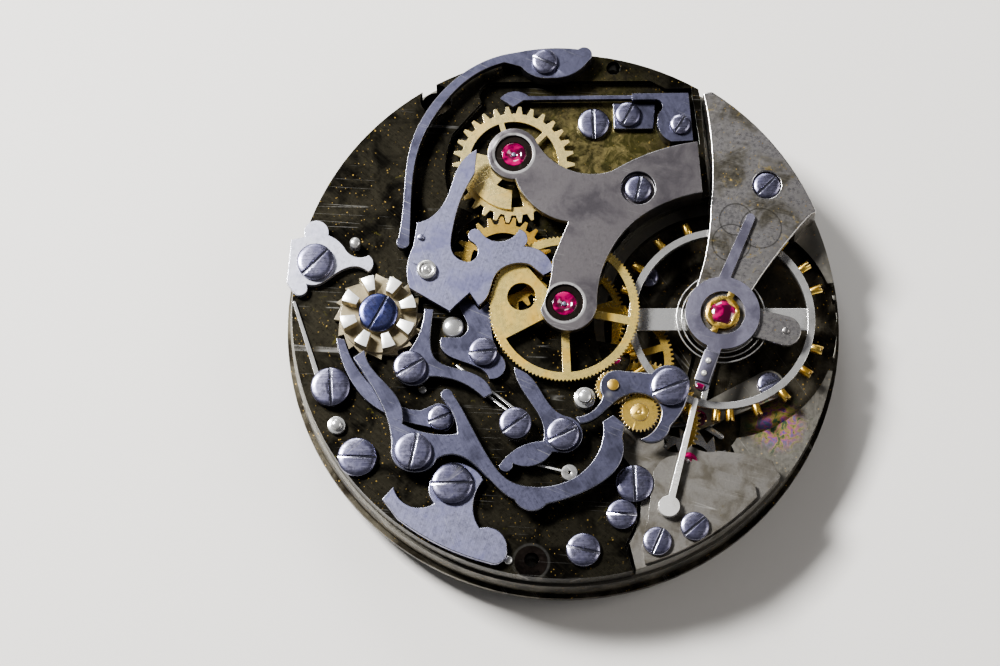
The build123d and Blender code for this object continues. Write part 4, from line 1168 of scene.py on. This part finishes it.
@dataclass
class LyreSpring:
    """Gilt lyre spring round the cap jewel, its inner edge waved, with two tabs."""

    node: str = "shock_spring"
    outer: float = 0.95
    inner: float = 0.67
    wave: float = 0.085
    waves: int = 5
    tab_turn: float = 48.0
    tab: tuple[float, float, float] = (0.5, 0.36, 0.1)
    level: Spot = (5.18, 5.3)
    setting_level: Spot = (4.8, 5.17)
    setting_radii: Spot = (0.9, 0.73)

    def build(self) -> None:
        """Model the spring and the setting under it."""
        low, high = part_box("balance_staff")
        middle = tuple(((low + high) / 2 / MM)[:2])
        spring = Bench.round_bar(self.outer, *self.level, middle, 90)
        for side in (0, 180):
            turn = math.radians(self.tab_turn + side)
            spot = (middle[0] + math.cos(turn), middle[1] + math.sin(turn), sum(self.level) / 2)
            Bench.cut(spring, Bench.block(self.tab, spot, self.tab_turn), "UNION")
        opening = Bench.round_bar(self.inner, 5.0, 5.5, middle, 90)
        for vertex in opening.data.vertices:
            across = Vector((vertex.co.x, vertex.co.y)) / MM - Vector(middle)
            turn = math.atan2(across.y, across.x)
            across *= 1 + self.wave / self.inner * math.cos(self.waves * turn + 0.6)
            vertex.co.x, vertex.co.y = (Vector(middle) + across) * MM
        Bench.cut(spring, opening)
        Bench.complete(spring, Palette.gilt, 0.03, 2, 40)
        setting = Bench.round_bar(self.setting_radii[0], *self.setting_level, middle, 64)
        Bench.cut(setting, Bench.round_bar(self.setting_radii[1], 4.5, 5.5, middle, 64))
        Bench.complete(setting, Palette.gilt, 0.03, 2, 40)
        hand_over(Bench.unite("lyre_spring", [spring, setting]), "frame", "wheel_brass", self.node)


@dataclass
class CurbArm:
    """Curb-pin block on the regulator's arm: a thin block, two domed pins and a ruby tip."""

    start: Spot = (7.13, -4.95)
    end: Spot = (6.02, -6.45)
    width: float = 0.86
    level: Spot = (5.19, 5.36)
    pins: tuple[Spot, ...] = ((6.75, -5.4), (6.3, -6.02))
    pin_radius: float = 0.17
    tip: Spot = (5.87, -6.68)
    tip_size: tuple[float, float, float] = (0.34, 0.46, 0.16)
    tip_height: float = 5.28
    pin_level: Spot = (5.3, 5.38)
    pin_rise: float = 0.12

    def build(self) -> None:
        """Model the block, its pins and the tip."""
        start, end = Vector(self.start), Vector(self.end)
        middle, along = (start + end) / 2, end - start
        thick = self.level[1] - self.level[0]
        turn = math.degrees(math.atan2(along.y, along.x))
        block = Bench.block((along.length, self.width, thick),
                            (middle.x, middle.y, sum(self.level) / 2), turn)
        Bench.complete(block, Palette.violet, 0.05, 2, 40)
        pieces = [block]
        for pin in self.pins:
            knob = Bench.round_bar(self.pin_radius, *self.pin_level, pin, 32)
            Bench.choose_top(knob)
            Bench.dome(self.pin_radius, self.pin_rise)
            bpy.ops.object.mode_set(mode="OBJECT")
            Bench.complete(knob, Palette.blade, 0.01, 1, 60)
            pieces.append(knob)
        hand_over(Bench.unite("curb_block", pieces), "regulator_index", "grey_steel")
        tip = Bench.block(self.tip_size, (*self.tip, self.tip_height), turn)
        Bench.complete(tip, Palette.ruby, 0.06, 3, 40)
        tip.name = tip.data.name = "curb_ruby"
        hand_over(tip, "regulator_index", "ruby")


@dataclass
class Studio:
    """Plain pale floor, soft lights and the camera over the movement.

    The floor's size is in metres, other lengths in millimetres, and angles in degrees.
    """

    floor_size: float = 1.2
    target: tuple[float, float, float] = (-3.804, -0.086, 3.9)
    distance: float = 260.0
    azimuth: float = -17.0
    elevation: float = 74.656
    lens: float = 166.1
    horizon: tuple[float, float, float, float] = (0.4, 0.4, 0.4, 1)
    zenith: tuple[float, float, float, float] = (0.07, 0.07, 0.08, 1)
    zenith_starts: float = 0.85

    def floor(self) -> None:
        """Lay a pale matt floor under the hand posts."""
        Bench.clear()
        bpy.ops.mesh.primitive_plane_add(size=self.floor_size, location=(0, 0, cad_low.z))
        ground = bpy.context.object
        ground.name = "floor"
        g = Graph("pale_floor")
        cloud = g.noise(g.millimetres(), 0.02, 4)
        tone = g.mix(cloud, paint("dcd9d4"), paint("e4e1dc"))
        ground.data.materials.append(g.shade(Base_Color=tone, Roughness=0.75))

    def lamp(self, name: str, spot: tuple[float, float, float], size: float, power: float,
             colour: Colour = (1, 1, 1)) -> None:
        """Hang a soft lamp that looks at the movement.

        Args:
            name: Its name.
            spot: Its place in millimetres.
            size: Its side in millimetres.
            power: Its power in watts.
            colour: Its colour.
        """
        light = bpy.data.lights.new(name, "AREA")
        light.shape, light.size, light.energy, light.color = "SQUARE", size * MM, power, colour
        lamp = bpy.data.objects.new(name, light)
        lamp.location = Vector(spot) * MM
        lamp.rotation_euler = (-Vector(spot)).to_track_quat("-Z", "Y").to_euler()
        bpy.context.scene.collection.objects.link(lamp)

    def surroundings(self) -> None:
        """Light the room: dim overhead and brighter towards the horizon."""
        world = bpy.data.worlds.new("studio")
        bpy.context.scene.world = world
        world.use_nodes = True
        tree = world.node_tree
        tree.nodes.clear()
        way, parts, ramp, back, out = (
            tree.nodes.new("ShaderNode" + kind)
            for kind in ("TexCoord", "SeparateXYZ", "ValToRGB", "Background", "OutputWorld"))
        low, high = ramp.color_ramp.elements
        low.color, high.color = self.horizon, self.zenith
        high.position = self.zenith_starts
        for output, entry in ((way.outputs["Generated"], parts.inputs[0]),
                              (parts.outputs["Z"], ramp.inputs[0]),
                              (ramp.outputs[0], back.inputs[0]),
                              (back.outputs[0], out.inputs[0])):
            tree.links.new(output, entry)

    def camera(self) -> None:
        """Set the camera."""
        turn, lift = math.radians(self.azimuth), math.radians(self.elevation)
        back = Vector((math.sin(turn) * math.cos(lift), -math.cos(turn) * math.cos(lift),
                       math.sin(lift)))
        data = bpy.data.cameras.new("camera")
        data.lens, data.sensor_width = self.lens, 36.0
        data.clip_start, data.clip_end = 0.001, 10.0
        camera = bpy.data.objects.new("camera", data)
        camera.location = (Vector(self.target) + back * self.distance) * MM
        camera.rotation_mode = "QUATERNION"
        camera.rotation_quaternion = (-back).to_track_quat("-Z", "Y")
        bpy.context.scene.collection.objects.link(camera)
        bpy.context.scene.camera = camera

    def build(self) -> None:
        """Set up the whole studio."""
        self.camera()
        self.floor()
        self.surroundings()
        self.lamp("key", (-105, 125, 215), 60, 1.5)
        self.lamp("fill", (170, -60, 190), 120, 0.14, (1.0, 0.97, 0.93))
        self.lamp("back", (20, 220, 160), 90, 0.22, (0.95, 0.97, 1.0))
        bpy.context.scene.view_settings.look = "AgX - Medium High Contrast"


HAMMER_PIVOT = (-6.8, 4.25)
CAD_FINISHES: tuple[tuple[Finish, float, tuple[str, ...]], ...] = (
    (Palette.bridge, 0.06, ("train_bridge",)),
    (Palette.plate, 0.06, ("main_plate", "pallet_bridge")),
    (Palette.grey, 0.09, ("chronograph_bridge",)),
    (Palette.cream, 0.08, ("fourth_bridge",)),
    (Palette.cock, 0.07, ("balance_cock", "stud_carrier")),
    (Palette.lever, 0.06, ("flyback_lever", "blocking_lever", "brake_lever", "clutch_lever",
                           "column_jumper", "minute_jumper", "jumper_cover", "hammer_spring",
                           "hammer_stop")),
    (Palette.violet, 0.05, ("regulator_index",)),
    (Palette.pale, 0.06, ("hammer", "reset_lever")),
    (Palette.painted_glare_steel, 0.06, ("start_lever",)),
    (Palette.column_polish_and_highlight, 0.04, ("column_wheel",)),
    (Palette.bright, 0.03, ("start_spring", "blocking_springs", "brake_spring",
                            "balance_wheel", "balance_staff", "click",
                            "pallet_fork", "escape_wheel", "barrel_arbor", "ratchet_wheel",
                            "crown_wheel", "winding_pinion", "clutch_wheel", "setting_lever",
                            "yoke", "cannon_pinion")),
    (Palette.bright, 0.0, ("hairspring", "mainspring")),
    (Palette.blade, 0.03, ("clutch_spring",)),
    (Palette.brass, 0.025, ("relay_wheel", "coupling_wheel", "driving_wheel", "centre_wheel",
                            "third_wheel", "fourth_wheel", "setting_wheel", "motion_wheel")),
    (Palette.runner_brass, 0.025, ("chronograph_runner",)),
    (Palette.counter_brass, 0.025, ("minute_runner",)),
    (Palette.drum, 0.03, ("mainspring_barrel", "barrel_cover")),
)


def main() -> None:
    """Clear the start-up objects, set the studio, dress the CAD nodes and model the rest."""
    for item in [o for o in bpy.data.objects if o.name in ("Cube", "Light", "Camera")]:
        bpy.data.objects.remove(item)
    Studio().build()
    finisher = CadFinisher()
    for finish, chamfer, nodes in CAD_FINISHES:
        for node in nodes:
            finisher.dress(node, finish, chamfer)
    SlottedScrews("bridge_screws", Palette.head).build()
    SlottedScrews("small_screws", Palette.head).build()
    SlottedScrews("pivot_screws", Palette.head, unslotted=HAMMER_PIVOT).build()
    SlottedScrews("column_wheel_screw", Palette.blue).build()
    Rubies().build()
    TimingScrews().build()
    DomedStuds().build()
    LyreSpring().build()
    CurbArm().build()


if __name__ == "__main__":
    logging.basicConfig(level=logging.INFO, format="%(name)s %(message)s")
    main()
